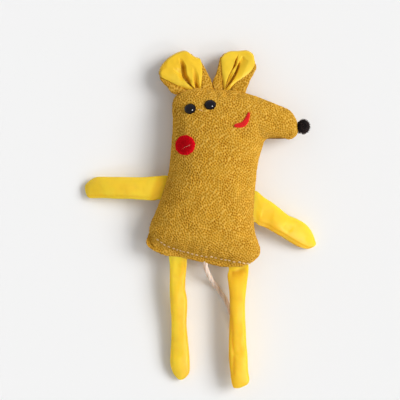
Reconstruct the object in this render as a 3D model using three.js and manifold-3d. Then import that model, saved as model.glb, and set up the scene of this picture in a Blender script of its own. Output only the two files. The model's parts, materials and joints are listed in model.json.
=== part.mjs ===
// A small stuffed mouse toy for a cat, lying on its back.
// Millimetres, +Z up: X runs towards the snout, Y towards the ears, Z out of the belly.
// The origin is in the flat patch of the back that the toy lies on.
// Left and right are as seen from the front.
//
// The trunk is a pouch of two equal panels sewn round the edge. Its bulge is the shape of
// a film held along the seam and blown up evenly, so narrow places such as the snout
// come out thinner by themselves. Every layer of it is the same pouch, grown or shrunk.

import * as THREE from 'three';
import { mergeVertices } from 'three/addons/utils/BufferGeometryUtils.js';
import Module from 'manifold-3d';

// Cloth and clearances
const terryThickness = 1.2;
const satinThickness = 0.5;
const feltThickness = 1;
const seamClearance = 0.3;
const cutOverrun = 3;

// Trunk
const trunkWidth = 59.3;
const trunkHeight = 93;
const frontBulge = 14;
const backBulge = 11.5;
const restFlatDepth = 0.5;
const snoutLength = 18.7;
const snoutHeight = 15.6;
const bulgePowerShare = 0.46;
const pressedShare = 0.78;
const pressedSharpness = 12;

// Face
const eyeDiameter = 5.3;
const noseDiameter = 7.8;
const noseDepth = 7;
const cheekDiameter = 10.1;
const mouthSpan = 9.6;
const mouthWidth = 2.4;

// Ears
const leftEarWidth = 29.2;
const leftEarHeight = 18.9;
const rightEarWidth = 21.9;
const rightEarHeight = 19.9;
const earFoldThickness = 3.4;
const earSeamMargin = 0.8;
const earCup = 1.6;
const earPleatDepth = 1.5;
const earDroopDegrees = 10;

// Limbs
const limbRootThickness = 1.6;
const leftArmLength = 41;
const leftArmWidth = 12;
const rightArmLength = 37.2;
const rightArmWidth = 14;
const armThickness = 7.4;
const leftLegLength = 63.2;
const rightLegLength = 62.4;
const legWidth = 9;
const legThickness = 7;

// Tail
const tailDiameter = 2.5;
const knotDiameter = 5;
const knotLength = 6.4;

const seamHeight = backBulge - restFlatDepth;
const outlineSteps = 76;
const filmSweeps = 700;

const wasm = await Module();
wasm.setup();

// Solids

function toSolid(geometry) {
  const bare = new THREE.BufferGeometry();
  bare.setAttribute('position', geometry.getAttribute('position').clone());
  if (geometry.index) {
    bare.setIndex(geometry.index.clone());
  }
  const merged = mergeVertices(bare);
  return new wasm.Manifold(new wasm.Mesh({
    numProp: 3,
    vertProperties: new Float32Array(merged.getAttribute('position').array),
    triVerts: new Uint32Array(merged.index.array),
  }));
}

function toGeometry(solid) {
  const mesh = solid.getMesh();
  const geometry = new THREE.BufferGeometry();
  geometry.setAttribute('position', new THREE.BufferAttribute(new Float32Array(mesh.vertProperties), 3));
  geometry.setIndex(new THREE.BufferAttribute(new Uint32Array(mesh.triVerts), 1));
  geometry.computeVertexNormals();
  return geometry;
}

function indexed(points, triangles) {
  const geometry = new THREE.BufferGeometry().setFromPoints(points);
  geometry.setIndex(triangles.flat());
  geometry.computeVertexNormals();
  return geometry;
}

// Everything between two heights, wide enough to hold the whole toy
function slab(low, high) {
  const side = 2 * trunkHeight;
  const box = new THREE.BoxGeometry(side, side, high - low);
  box.translate(0, 0, (low + high) / 2);
  return toSolid(box);
}

// Trunk outline: each row is a share of the width and of the height from the middle of the
// belly, then how far along the spine its rings run in to.
const bellyShares = [
  [-0.14, -0.309, 0],
  [-0.026, -0.324, 0],
  [0.096, -0.338, 0],
  [0.21, -0.352, 0],
  [0.3, -0.357, 0],
  [0.37, -0.349, 0],
  [0.425, -0.324, 0],
  [0.458, -0.293, 0],
  [0.468, -0.262, 0.01],
  [0.458, -0.229, 0.04],
  [0.438, -0.193, 0.08],
  [0.42, -0.131, 0.13],
  [0.424, -0.034, 0.22],
  [0.433, 0.056, 0.31],
  [0.45, 0.179, 0.43],
  [0.476, 0.255, 0.52],
  [0.495, 0.304, 0.6],
];
const headShares = [
  [0.43, 0.582, 0.78],
  [0.333, 0.601, 0.71],
  [0.21, 0.613, 0.64],
  [0.053, 0.617, 0.57],
  [-0.105, 0.616, 0.53],
  [-0.2, 0.605, 0.51],
  [-0.259, 0.585, 0.49],
  [-0.286, 0.554, 0.47],
  [-0.295, 0.5, 0.45],
  [-0.292, 0.43, 0.42],
  [-0.299, 0.357, 0.38],
  [-0.31, 0.279, 0.34],
  [-0.32, 0.196, 0.29],
  [-0.352, 0.098, 0.22],
  [-0.402, 0.006, 0.15],
  [-0.443, -0.062, 0.09],
  [-0.48, -0.12, 0.04],
  [-0.497, -0.173, 0],
  [-0.487, -0.213, 0],
  [-0.439, -0.243, 0],
  [-0.36, -0.264, 0],
  [-0.25, -0.289, 0],
];
// The snout's rows start from its root on the trunk
const snoutRootShares = [0.495, 0.4285];
const snoutShares = [
  [0.07, -0.56, 0.7],
  [0.19, -0.485, 0.78],
  [0.45, -0.465, 0.88],
  [0.71, -0.51, 0.97],
  [0.89, -0.46, 1],
  [0.975, -0.33, 1],
  [1, -0.12, 1],
  [0.955, 0.12, 1],
  [0.84, 0.34, 1],
  [0.69, 0.49, 0.98],
  [0.45, 0.61, 0.92],
  [0.13, 0.77, 0.85],
];
const spineShares = [[-0.01, -0.18], [0.02, 0], [0.05, 0.18], [0.115, 0.35]];
const snoutSpineShares = [[-0.48, 0.08], [0.6, 0.02]];
// How far each ring lies in from the seam towards the spine
const ringShares = [0, 0.05, 0.16, 0.34, 0.57, 0.8];
const spineSteps = 11;

// Hem below the pouch, where the two plies lie flat, from its left corner to its right
const hemShares = [
  [-0.5, -0.19],
  [-0.521, -0.23],
  [-0.507, -0.254],
  [-0.46, -0.281],
  [-0.364, -0.306],
  [-0.324, -0.3125],
  [-0.164, -0.328],
  [-0.021, -0.348],
  [0.083, -0.363],
  [0.187, -0.377],
  [0.281, -0.372],
  [0.373, -0.36],
  [0.43, -0.335],
  [0.465, -0.31],
  [0.477, -0.283],
  [0.467, -0.255],
];

function trunkPoint([across, up, along = 0]) {
  return new THREE.Vector3(across * trunkWidth, up * trunkHeight, along);
}

function snoutPoint([out, up, along = 0]) {
  const root = trunkPoint(snoutRootShares);
  return new THREE.Vector3(root.x + out * snoutLength, root.y + up * snoutHeight, along);
}

const seamCurve = new THREE.CatmullRomCurve3(
  [...bellyShares.map(trunkPoint), ...snoutShares.map(snoutPoint), ...headShares.map(trunkPoint)],
  true,
);
const spineCurve = new THREE.CatmullRomCurve3(
  [...spineShares.map(trunkPoint), ...snoutSpineShares.map(snoutPoint)],
);
const hemCurve = new THREE.CatmullRomCurve3(hemShares.map(trunkPoint));

// Rings of points from the seam in towards the spine, then the spine's own points, and
// the triangles between them. The seam's z holds its share along the spine.
function pouchLayout() {
  const steps = outlineSteps;
  const seam = [];
  for (let i = 0; i < steps; i += 1) {
    const point = seamCurve.getPoint(i / steps);
    point.z = THREE.MathUtils.clamp(point.z, 0, 1);
    seam.push(point);
  }
  const flat = [];
  for (const inShare of ringShares) {
    for (const point of seam) {
      flat.push(new THREE.Vector2(point.x, point.y).lerp(spineCurve.getPoint(point.z), inShare));
    }
  }
  const spineStart = flat.length;
  for (let s = 0; s <= spineSteps; s += 1) {
    const { x, y } = spineCurve.getPoint(s / spineSteps);
    flat.push(new THREE.Vector2(x, y));
  }

  const triangles = [];
  const lastRing = (ringShares.length - 1) * steps;
  for (let i = 0; i < steps; i += 1) {
    const next = (i + 1) % steps;
    for (let outer = 0; outer < lastRing; outer += steps) {
      const inner = outer + steps;
      triangles.push([outer + i, outer + next, inner + next]);
      triangles.push([outer + i, inner + next, inner + i]);
    }
    // The last ring meets every point of the spine on its way up and on its way down
    let at = Math.round(seam[i].z * spineSteps);
    const goal = Math.round(seam[next].z * spineSteps);
    triangles.push([lastRing + i, lastRing + next, spineStart + at]);
    while (at !== goal) {
      const onward = at + Math.sign(goal - at);
      triangles.push([lastRing + next, spineStart + onward, spineStart + at]);
      at = onward;
    }
  }
  return { flat, triangles };
}

// Rise of an evenly loaded film held along the seam, as a share of its highest place:
// cotangent weights, relaxed in place.
function filmRise({ flat, triangles }) {
  const weights = flat.map(() => new Map());
  const load = flat.map(() => 0);
  for (const corners of triangles) {
    for (let k = 0; k < 3; k += 1) {
      const [a, b, c] = [corners[k], corners[(k + 1) % 3], corners[(k + 2) % 3]];
      const toA = flat[a].clone().sub(flat[c]);
      const toB = flat[b].clone().sub(flat[c]);
      const area = toA.cross(toB) / 2;
      const weight = toA.dot(toB) / area / 4;
      weights[a].set(b, (weights[a].get(b) ?? 0) + weight);
      weights[b].set(a, (weights[b].get(a) ?? 0) + weight);
      load[a] += area / 3;
    }
  }
  const rise = flat.map(() => 0);
  for (let sweep = 0; sweep < filmSweeps; sweep += 1) {
    for (let v = outlineSteps; v < flat.length; v += 1) {
      let pull = load[v];
      let stiffness = 0;
      for (const [neighbour, weight] of weights[v]) {
        pull += weight * rise[neighbour];
        stiffness += weight;
      }
      rise[v] = pull / stiffness;
    }
  }
  const highest = Math.max(...rise);
  return rise.map((value) => value / highest);
}

// The back is pressed level where the toy lies on it
function pressed(bulge) {
  const level = bulge / pressedShare;
  return level / (1 + level ** pressedSharpness) ** (1 / pressedSharpness);
}

// The pouch's surface round the seam plane: the front's points, then the back's
function pouchSurface() {
  const steps = outlineSteps;
  const layout = pouchLayout();
  const bulge = filmRise(layout).map((rise) => rise ** bulgePowerShare);
  const front = layout.flat.map((point, i) => new THREE.Vector3(point.x, point.y, bulge[i] * frontBulge));
  const sunk = bulge.map((share) => (pressed(share) / pressed(1)) * backBulge);
  const back = layout.flat.map((point, i) => new THREE.Vector3(point.x, point.y, -sunk[i]));
  const backIndex = (index) => (index < steps ? index : index + front.length - steps);
  const backTriangles = layout.triangles.map(([a, b, c]) => [backIndex(a), backIndex(c), backIndex(b)]);
  return indexed([...front, ...back.slice(steps)], [...layout.triangles, ...backTriangles]);
}

// The same surface grown outwards, or shrunk where the distance is negative
function grown(surface, distance) {
  const geometry = surface.clone();
  const position = geometry.getAttribute('position');
  const normal = surface.getAttribute('normal');
  const point = new THREE.Vector3();
  const direction = new THREE.Vector3();
  for (let i = 0; i < position.count; i += 1) {
    point.fromBufferAttribute(position, i);
    direction.fromBufferAttribute(normal, i);
    point.addScaledVector(direction, distance);
    position.setXYZ(i, point.x, point.y, point.z);
  }
  return geometry;
}

const pouch = pouchSurface();
const pouchClearance = toSolid(grown(pouch, seamClearance));

// Height of the pouch's front over a place in the plan
const skinMesh = new THREE.Mesh(pouch);
function frontHeight(x, y) {
  const above = new THREE.Vector3(x, y, frontBulge + cutOverrun);
  const ray = new THREE.Raycaster(above, new THREE.Vector3(0, 0, -1));
  return ray.intersectObject(skinMesh)[0].point.z;
}

// Panels: the pouch's wall and the flat hem, split along the seam plane

function hemPlies() {
  const [first, ...others] = hemCurve.points.map((point) => new THREE.Vector2(point.x, point.y));
  const shape = new THREE.Shape();
  shape.moveTo(first.x, first.y);
  shape.splineThru(others);
  shape.closePath();
  const depth = 2 * terryThickness + seamClearance;
  const plies = new THREE.ExtrudeGeometry(shape, { depth, bevelEnabled: false, curveSegments: 3 });
  plies.translate(0, 0, -depth / 2);
  return toSolid(plies);
}

function trunkPanels() {
  const cavity = toSolid(grown(pouch, -terryThickness));
  const wall = toSolid(pouch).add(hemPlies()).subtract(cavity);
  const top = frontBulge + cutOverrun;
  return {
    front: wall.intersect(slab(seamClearance / 2, top)),
    back: wall.intersect(slab(-seamHeight, -seamClearance / 2)),
  };
}

function trunkFill() {
  return toSolid(grown(pouch, -terryThickness - 2 * seamClearance));
}

// Face

const leftEyeShares = [-0.14, 0.508];
const rightEyeShares = [0.037, 0.531];
const cheekShares = [-0.182, 0.306];
// Places on the trunk of the mouth's two ends and of its fullest point
const mouthShares = [[0.248, 0.414], [0.333, 0.413], [0.377, 0.486]];
const mouthWidthShares = [0.3, 0.8, 1, 0.9, 0.35];

function eyeBead(shares) {
  const place = trunkPoint(shares);
  const radius = eyeDiameter / 2;
  const bead = new THREE.SphereGeometry(radius, 16, 10);
  bead.translate(place.x, place.y, frontHeight(place.x, place.y) + radius / 3);
  return toSolid(bead).subtract(pouchClearance);
}

function nosePompom() {
  const tip = snoutPoint([1, -0.11]);
  const ball = new THREE.SphereGeometry(noseDiameter / 2, 18, 12);
  ball.scale(noseDepth / noseDiameter, 1, 1);
  ball.translate(tip.x + noseDepth / 3, tip.y, 0);
  return toSolid(ball).subtract(pouchClearance);
}

// A felt patch lies on the pouch, following its bulge
function feltPatch(shape) {
  const post = new THREE.ExtrudeGeometry(shape, {
    depth: frontBulge + cutOverrun,
    bevelEnabled: false,
    curveSegments: 14,
  });
  return toSolid(post)
    .intersect(toSolid(grown(pouch, seamClearance + feltThickness)))
    .subtract(pouchClearance);
}

function cheekPatch() {
  const place = trunkPoint(cheekShares);
  const shape = new THREE.Shape();
  shape.absellipse(place.x, place.y, cheekDiameter / 2, cheekDiameter / 2, 0, 2 * Math.PI, false, 0);
  return feltPatch(shape);
}

function mouthPatch() {
  const middle = trunkPoint(mouthShares[1]);
  const fit = mouthSpan / trunkPoint(mouthShares[0]).distanceTo(trunkPoint(mouthShares[2]));
  const line = new THREE.CatmullRomCurve3(
    mouthShares.map((shares) => trunkPoint(shares).sub(middle).multiplyScalar(fit).add(middle)),
  );
  const last = mouthWidthShares.length - 1;
  const upper = [];
  const lower = [];
  mouthWidthShares.forEach((widthShare, i) => {
    const point = line.getPoint(i / last);
    const along = line.getTangent(i / last);
    const half = (widthShare * mouthWidth) / 2;
    upper.push(new THREE.Vector2(point.x - along.y * half, point.y + along.x * half));
    lower.push(new THREE.Vector2(point.x + along.y * half, point.y - along.x * half));
  });
  const shape = new THREE.Shape();
  shape.moveTo(lower[0].x, lower[0].y);
  shape.splineThru(lower.slice(1));
  shape.lineTo(upper[last].x, upper[last].y);
  shape.splineThru(upper.slice(0, last).reverse());
  shape.closePath();
  return feltPatch(shape);
}

// Hinges: a limb or an ear turns about a straight line along its seam. The line runs
// beside the curve between two of its places, clear of its fullest point.
function seamHinge(curve, from, to, rootThickness) {
  const start = curve.getPoint(from);
  const end = curve.getPoint(to);
  const along = new THREE.Vector3(end.x - start.x, end.y - start.y, 0).normalize();
  const outward = new THREE.Vector3(along.y, -along.x, 0);
  const samples = 12;
  let bow = 0;
  for (let i = 0; i <= samples; i += 1) {
    const point = curve.getPoint(THREE.MathUtils.lerp(from, to, i / samples));
    bow = Math.max(bow, point.clone().sub(start).dot(outward));
  }
  const middle = start.clone().lerp(end, 0.5);
  middle.addScaledVector(outward, bow + seamClearance + rootThickness / 2);
  return { middle, angle: Math.atan2(outward.y, outward.x) };
}

// A group whose +Y leaves the seam and whose X lies along it, hanging down by its droop
function hingeGroup({ middle, angle }, droopDegrees) {
  const group = new THREE.Group();
  group.position.set(middle.x, middle.y, seamHeight);
  group.rotation.set(-THREE.MathUtils.degToRad(droopDegrees), 0, angle - Math.PI / 2, 'ZXY');
  return group;
}

const leftEarHinge = seamHinge(seamCurve, 0.6255, 0.6614, earFoldThickness);
const rightEarHinge = seamHinge(seamCurve, 0.588, 0.6235, earFoldThickness);
const leftArmHinge = seamHinge(seamCurve, 0.8157, 0.845, limbRootThickness);
const rightArmHinge = seamHinge(seamCurve, 0.2157, 0.2549, limbRootThickness);
const leftLegHinge = seamHinge(hemCurve, 0.333, 0.4, limbRootThickness);
const rightLegHinge = seamHinge(hemCurve, 0.607, 0.733, limbRootThickness);

// Sheets: a closed sheet fans out along rays from a root line to a rim. Each of its two
// faces is given by its height over a place in the fan.
const reachShares = [0, 0.07, 0.3, 0.53, 0.77, 1];

function fanSheet({ root, rim, rays, low, high }) {
  const last = reachShares.length - 1;
  const under = [];
  const over = [];
  for (let i = 0; i <= rays; i += 1) {
    const foot = root[0].clone().lerp(root[1], i / rays);
    const edge = rim(i / rays);
    for (const reach of reachShares) {
      const place = foot.clone().lerp(edge, reach);
      under.push(new THREE.Vector3(place.x, place.y, low(place, i / rays, reach)));
      over.push(new THREE.Vector3(place.x, place.y, high(place, i / rays, reach)));
    }
  }
  const at = (i, j) => i * (last + 1) + j;
  const lift = under.length;
  const triangles = [];
  const quad = (a, b, c, d) => triangles.push([a, b, c], [a, c, d]);
  for (let i = 0; i < rays; i += 1) {
    for (let j = 0; j < last; j += 1) {
      quad(at(i, j), at(i + 1, j), at(i + 1, j + 1), at(i, j + 1));
      quad(lift + at(i, j), lift + at(i, j + 1), lift + at(i + 1, j + 1), lift + at(i + 1, j));
    }
    quad(at(i, 0), lift + at(i, 0), lift + at(i + 1, 0), at(i + 1, 0));
    quad(at(i, last), at(i + 1, last), lift + at(i + 1, last), lift + at(i, last));
  }
  for (let j = 0; j < last; j += 1) {
    quad(at(0, j), at(0, j + 1), lift + at(0, j + 1), lift + at(0, j));
    quad(at(rays, j), lift + at(rays, j), lift + at(rays, j + 1), at(rays, j + 1));
  }
  // The fans here run clockwise, so their triangles are turned to face out
  return toSolid(indexed([...under, ...over], triangles.map(([a, b, c]) => [a, c, b])));
}

// Ears: rows are shares of the ear's width and height from the middle of its hinge line,
// clockwise round the rim. The terry outer is doubled over at its gathered corners, and
// its single ply shows in between, where the satin lining lies in it.
const leftEar = {
  width: leftEarWidth,
  height: leftEarHeight,
  rimShares: [
    [-0.402, -0.1], [-0.533, -0.045], [-0.617, 0.076], [-0.682, 0.222], [-0.718, 0.408],
    [-0.667, 0.596], [-0.571, 0.757], [-0.459, 0.884], [-0.33, 0.977], [-0.222, 1],
    [-0.145, 0.925], [-0.069, 0.828], [0.027, 0.762], [0.057, 0.638], [0.096, 0.494],
    [0.159, 0.278], [0.208, 0.09],
  ],
  rootShares: [-0.249, 0.24],
  openingRootShares: [-0.159, 0.031],
  openingRimShares: [
    [-0.73, 0.31], [-0.82, 0.47], [-0.75, 0.69], [-0.5, 0.99], [-0.24, 1.13],
    [-0.1, 1.02], [0.06, 0.84],
  ],
  liningRimShares: [0.215, 0.755],
  pleatShares: [0, 0.15, 0.35, 0.5, 0.6, 0.75, 1, 0.55, 0, 0.7, 0.9, 0.6, 0.15, 0.6, 0.2],
};
const rightEar = {
  width: rightEarWidth,
  height: rightEarHeight,
  rimShares: [
    [-0.352, 0.034], [-0.345, 0.256], [-0.325, 0.487], [-0.307, 0.716], [-0.231, 0.845],
    [-0.108, 0.937], [0.103, 0.972], [0.304, 1], [0.455, 0.911], [0.506, 0.751],
    [0.57, 0.546], [0.546, 0.372], [0.459, 0.226], [0.398, 0.059],
  ],
  rootShares: [-0.305, 0.346],
  openingRootShares: [-0.15, -0.06],
  openingRimShares: [
    [-0.285, 0.9], [-0.22, 1.04], [0.1, 1.12], [0.36, 1.13], [0.57, 0.98], [0.6, 0.75],
  ],
  liningRimShares: [0.285, 0.7],
  pleatShares: [0.2, 0.45, 0.65, 0.8, 0.95, 0.8, 0.2, 0.75, 0, 0.55, 0.85, 1, 0.8, 0.5, 0.2],
};
// Ridges of the lining: how high they stand along a ray, from the root to the rim
const pleatReachShares = [0, 0.35, 0.8, 1, 0.7, 0.3];

function earLayers(ear) {
  const half = earFoldThickness / 2;
  const rootLine = -0.65 * half;
  const place = ([across, up]) => new THREE.Vector3(across * ear.width, up * ear.height, 0);
  const rimCurve = new THREE.CatmullRomCurve3(ear.rimShares.map(place));
  const openingCurve = new THREE.CatmullRomCurve3(ear.openingRimShares.map(place));
  const rootEnds = (shares, y) => shares.map((share) => new THREE.Vector3(share * ear.width, y, 0));

  // The root is rounded about the hinge line, so that it turns beside the seam
  const halfDepth = ({ y }) => (y < 0 ? Math.sqrt(Math.max(half ** 2 - y ** 2, (half / 3) ** 2)) : half);
  const cup = ({ x, y }) => earCup * THREE.MathUtils.clamp(y / ear.height, 0, 1) * (2 * x / ear.width) ** 2;

  const envelope = fanSheet({
    root: rootEnds(ear.rootShares, rootLine),
    rim: (share) => rimCurve.getPoint(share),
    rays: ear.rimShares.length - 1,
    low: (at) => cup(at) - halfDepth(at),
    high: (at, ray, reach) => cup(at) + halfDepth(at) - (reach ** 2 * half) / 3,
  });
  const opening = fanSheet({
    root: rootEnds(ear.openingRootShares, -cutOverrun),
    rim: (share) => openingCurve.getPoint(share),
    rays: ear.rimShares.length - 1,
    low: (at) => cup(at) - half + terryThickness,
    high: (at) => cup(at) + half + cutOverrun,
  });

  const rays = ear.pleatShares.length - 1;
  const liningRoot = rootEnds(ear.openingRootShares, rootLine);
  liningRoot[0].x += seamClearance;
  liningRoot[1].x -= seamClearance;
  const pleat = (ray, reach) => {
    const ridge = ear.pleatShares[Math.round(ray * rays)];
    return earPleatDepth * ridge * pleatReachShares[reachShares.indexOf(reach)];
  };
  const liningLow = (at, ray, reach) => (
    cup(at) - half + terryThickness + seamClearance + pleat(ray, reach)
  );
  const lining = fanSheet({
    root: liningRoot,
    rim: (share) => {
      const [from, to] = ear.liningRimShares;
      const edge = rimCurve.getPoint(THREE.MathUtils.lerp(from, to, share));
      return edge.addScaledVector(edge.clone().normalize(), -earSeamMargin);
    },
    rays,
    low: liningLow,
    high: (at, ray, reach) => liningLow(at, ray, reach) + satinThickness,
  });
  return { outer: envelope.subtract(opening), lining };
}

// Limbs: a loft of oval sections between the limb's two edges. The first two sections are
// rounded about the hinge line. Each row then gives the low edge's and the high edge's
// place, as shares of the width and length in the limb's own lean, and a share of the
// thickness.
const limbSides = 12;
const leftArm = {
  length: leftArmLength,
  width: leftArmWidth,
  thickness: armThickness,
  leanDegrees: 19.5,
  rootWidthShare: 1.1,
  rowShares: [
    [-0.54, 0.115, 0.5, 0.035, 0.4],
    [-0.52, 0.232, 0.48, 0.16, 0.68],
    [-0.503, 0.388, 0.46, 0.336, 0.93],
    [-0.494, 0.596, 0.442, 0.57, 1],
    [-0.464, 0.765, 0.442, 0.765, 0.97],
    [-0.455, 0.882, 0.429, 0.863, 0.82],
    [-0.43, 0.95, 0.29, 0.945, 0.6],
    [-0.256, 0.986, 0.104, 0.997, 0.3],
  ],
};
const rightArm = {
  length: rightArmLength,
  width: rightArmWidth,
  thickness: armThickness,
  leanDegrees: -27.8,
  rootWidthShare: 1.17,
  rowShares: [
    [-0.484, 0.0, 0.525, 0.14, 0.42],
    [-0.475, 0.142, 0.471, 0.245, 0.68],
    [-0.431, 0.312, 0.454, 0.367, 0.93],
    [-0.361, 0.463, 0.477, 0.507, 1],
    [-0.39, 0.606, 0.464, 0.647, 1],
    [-0.355, 0.751, 0.447, 0.787, 0.88],
    [-0.19, 0.882, 0.406, 0.887, 0.62],
    [0.046, 0.996, 0.291, 0.944, 0.3],
  ],
};
const leftLeg = {
  length: leftLegLength,
  width: legWidth,
  thickness: legThickness,
  leanDegrees: 9.7,
  rootWidthShare: 1.05,
  rowShares: [
    [-0.516, 0.05, 0.471, 0.035, 0.42],
    [-0.463, 0.116, 0.461, 0.106, 0.74],
    [-0.423, 0.242, 0.455, 0.24, 0.98],
    [-0.501, 0.351, 0.435, 0.35, 1],
    [-0.444, 0.552, 0.394, 0.551, 0.96],
    [-0.555, 0.737, 0.439, 0.735, 1],
    [-0.597, 0.863, 0.478, 0.861, 0.94],
    [-0.48, 0.942, 0.301, 0.949, 0.68],
    [-0.274, 0.984, 0.045, 1, 0.3],
  ],
};
const rightLeg = {
  length: rightLegLength,
  width: legWidth,
  thickness: legThickness,
  leanDegrees: -7.4,
  rootWidthShare: 1.17,
  rowShares: [
    [-0.511, 0.045, 0.6, 0.055, 0.42],
    [-0.429, 0.126, 0.554, 0.132, 0.74],
    [-0.316, 0.269, 0.551, 0.266, 0.98],
    [-0.298, 0.394, 0.569, 0.392, 0.98],
    [-0.325, 0.604, 0.622, 0.601, 1],
    [-0.382, 0.73, 0.663, 0.727, 1],
    [-0.404, 0.856, 0.607, 0.853, 0.94],
    [-0.451, 0.936, 0.504, 0.946, 0.68],
    [-0.271, 0.977, 0.339, 1, 0.3],
  ],
};

// Middle, half width and half thickness of each section, in the hinge's own frame
function limbSections(limb) {
  const rootHalf = limbRootThickness / 2;
  const rootReach = new THREE.Vector3((limb.rootWidthShare * limb.width) / 2, 0, 0);
  const sections = [
    { middle: new THREE.Vector3(0, -0.6 * rootHalf, 0), reach: rootReach, depth: 0.8 * rootHalf },
    { middle: new THREE.Vector3(), reach: rootReach, depth: rootHalf },
  ];
  const lean = THREE.MathUtils.degToRad(limb.leanDegrees);
  const turned = (across, along) => new THREE.Vector3(across * limb.width, along * limb.length, 0)
    .applyAxisAngle(new THREE.Vector3(0, 0, 1), lean);
  for (const [lowAcross, lowAlong, highAcross, highAlong, depthShare] of limb.rowShares) {
    const low = turned(lowAcross, lowAlong);
    const high = turned(highAcross, highAlong);
    sections.push({
      middle: low.clone().lerp(high, 0.5),
      reach: high.sub(low).divideScalar(2),
      depth: (depthShare * limb.thickness) / 2,
    });
  }
  return sections;
}

// Sections drawn in by a cloth's thickness: the first moves by its own amount, the last
// by the thickness.
function drawnIn(sections, inset, rootShift) {
  const last = sections.length - 1;
  return sections.map(({ middle, reach, depth }, i) => {
    const moved = middle.clone();
    if (i === 0) {
      moved.y += rootShift;
    }
    if (i === last) {
      const back = sections[last - 1].middle.clone().sub(middle).normalize();
      moved.addScaledVector(back, inset);
    }
    return {
      middle: moved,
      reach: reach.clone().setLength(reach.length() - inset),
      depth: depth - inset,
    };
  });
}

function loft(sections) {
  const points = [];
  for (const { middle, reach, depth } of sections) {
    for (let k = 0; k < limbSides; k += 1) {
      const turn = (2 * Math.PI * k) / limbSides;
      const point = middle.clone().addScaledVector(reach, Math.cos(turn));
      point.z += Math.sin(turn) * depth;
      points.push(point);
    }
  }
  const triangles = [];
  for (let s = 0; s < sections.length - 1; s += 1) {
    for (let k = 0; k < limbSides; k += 1) {
      const [a, b] = [s * limbSides + k, s * limbSides + ((k + 1) % limbSides)];
      triangles.push([a, a + limbSides, b + limbSides], [a, b + limbSides, b]);
    }
  }
  const first = points.push(sections[0].middle) - 1;
  const last = points.push(sections[sections.length - 1].middle) - 1;
  const lastRing = (sections.length - 1) * limbSides;
  for (let k = 0; k < limbSides; k += 1) {
    const next = (k + 1) % limbSides;
    triangles.push([first, k, next], [last, lastRing + next, lastRing + k]);
  }
  return toSolid(indexed(points, triangles));
}

// The cover is a tube of satin, open where it is caught in the seam. The wadding starts
// past the flattened root.
function limbLayers(limb) {
  const sections = limbSections(limb);
  const bore = loft(drawnIn(sections, satinThickness, -cutOverrun));
  return {
    cover: loft(sections).subtract(bore),
    fill: loft(drawnIn(sections.slice(2), satinThickness + seamClearance, 0)),
    sections,
  };
}

// A limb hangs from its seam until it meets what it lies on
function restingDroop(sections, support) {
  const angles = sections.slice(2).map(({ middle, depth }) => {
    const drop = seamHeight - depth - support - seamClearance / 2;
    return Math.asin(Math.min(drop / middle.y, 1));
  });
  return THREE.MathUtils.radToDeg(Math.min(...angles));
}

// Tail: out of the hem, down to the floor and away under the right leg
const tailPoints = [
  [-0.3, -33.3, 11],
  [0, -35.4, 10.7],
  [0.8, -37.8, 9.2],
  [1.9, -40.1, 6.7],
  [3.3, -42.5, 4],
  [5.1, -45, 2.1],
  [7.5, -48.2, 1.35],
  [10.1, -52, 1.3],
  [12, -56.3, 1.3],
  [13.7, -60.7, 1.3],
  [15.2, -65, 1.3],
  [16.3, -69.4, 1.3],
  [16.9, -74, 1.3],
  [17, -78.6, 1.3],
];
const tailSides = 8;
const tailSteps = 26;

function tailCord() {
  const section = new THREE.Shape();
  for (let k = 0; k < tailSides; k += 1) {
    const turn = (2 * Math.PI * (k + 0.5)) / tailSides;
    const x = (Math.cos(turn) * tailDiameter) / 2;
    const y = (Math.sin(turn) * tailDiameter) / 2;
    if (k === 0) {
      section.moveTo(x, y);
    } else {
      section.lineTo(x, y);
    }
  }
  section.closePath();
  const route = new THREE.CatmullRomCurve3(tailPoints.map((point) => new THREE.Vector3(...point)));
  return new THREE.ExtrudeGeometry(section, {
    steps: tailSteps,
    extrudePath: route,
    curveSegments: 1,
  });
}

function tailKnot() {
  const profileShares = [[0, 0], [0.28, 0], [0.42, 0.16], [0.5, 0.34], [0.44, 0.5], [0.5, 0.68], [0.4, 0.88], [0.22, 1], [0, 1]];
  const profile = profileShares.map(([out, along]) => new THREE.Vector2(out * knotDiameter, along * knotLength));
  const knot = new THREE.LatheGeometry(profile, 12);
  knot.rotateX(Math.PI);
  const [x, y] = tailPoints[tailPoints.length - 1];
  knot.translate(x, y - seamClearance, knotDiameter / 2);
  return knot;
}

// Model

const terry = { color: 0xcda032, roughness: 0.95, metalness: 0 };
const satin = { color: 0xf5d23c, roughness: 0.45, metalness: 0 };
const wadding = { color: 0xf2f0ea, roughness: 1, metalness: 0 };
const bead = { color: 0x0c0a0b, roughness: 0.12, metalness: 0 };
const yarn = { color: 0x19100f, roughness: 1, metalness: 0 };
const felt = { color: 0xc8141c, roughness: 0.95, metalness: 0 };
const cotton = { color: 0xdcc3af, roughness: 0.9, metalness: 0 };

function piece(name, solid, finish) {
  const geometry = solid.isBufferGeometry ? solid : toGeometry(solid);
  const mesh = new THREE.Mesh(geometry, new THREE.MeshStandardMaterial(finish));
  mesh.name = name;
  return mesh;
}

const group = new THREE.Group();

const trunk = new THREE.Group();
trunk.position.z = seamHeight;
const panels = trunkPanels();
trunk.add(
  piece('body_front_panel', panels.front, terry),
  piece('body_back_panel', panels.back, terry),
  piece('body_fill', trunkFill(), wadding),
  piece('left_eye_bead', eyeBead(leftEyeShares), bead),
  piece('right_eye_bead', eyeBead(rightEyeShares), bead),
  piece('nose_pompom', nosePompom(), yarn),
  piece('cheek_patch', cheekPatch(), felt),
  piece('mouth_patch', mouthPatch(), felt),
);
group.add(trunk);

for (const [side, ear, hinge] of [['left', leftEar, leftEarHinge], ['right', rightEar, rightEarHinge]]) {
  const { outer, lining } = earLayers(ear);
  const turning = hingeGroup(hinge, earDroopDegrees);
  turning.add(piece(`${side}_ear_outer`, outer, terry), piece(`${side}_ear_lining`, lining, satin));
  group.add(turning);
}

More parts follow.
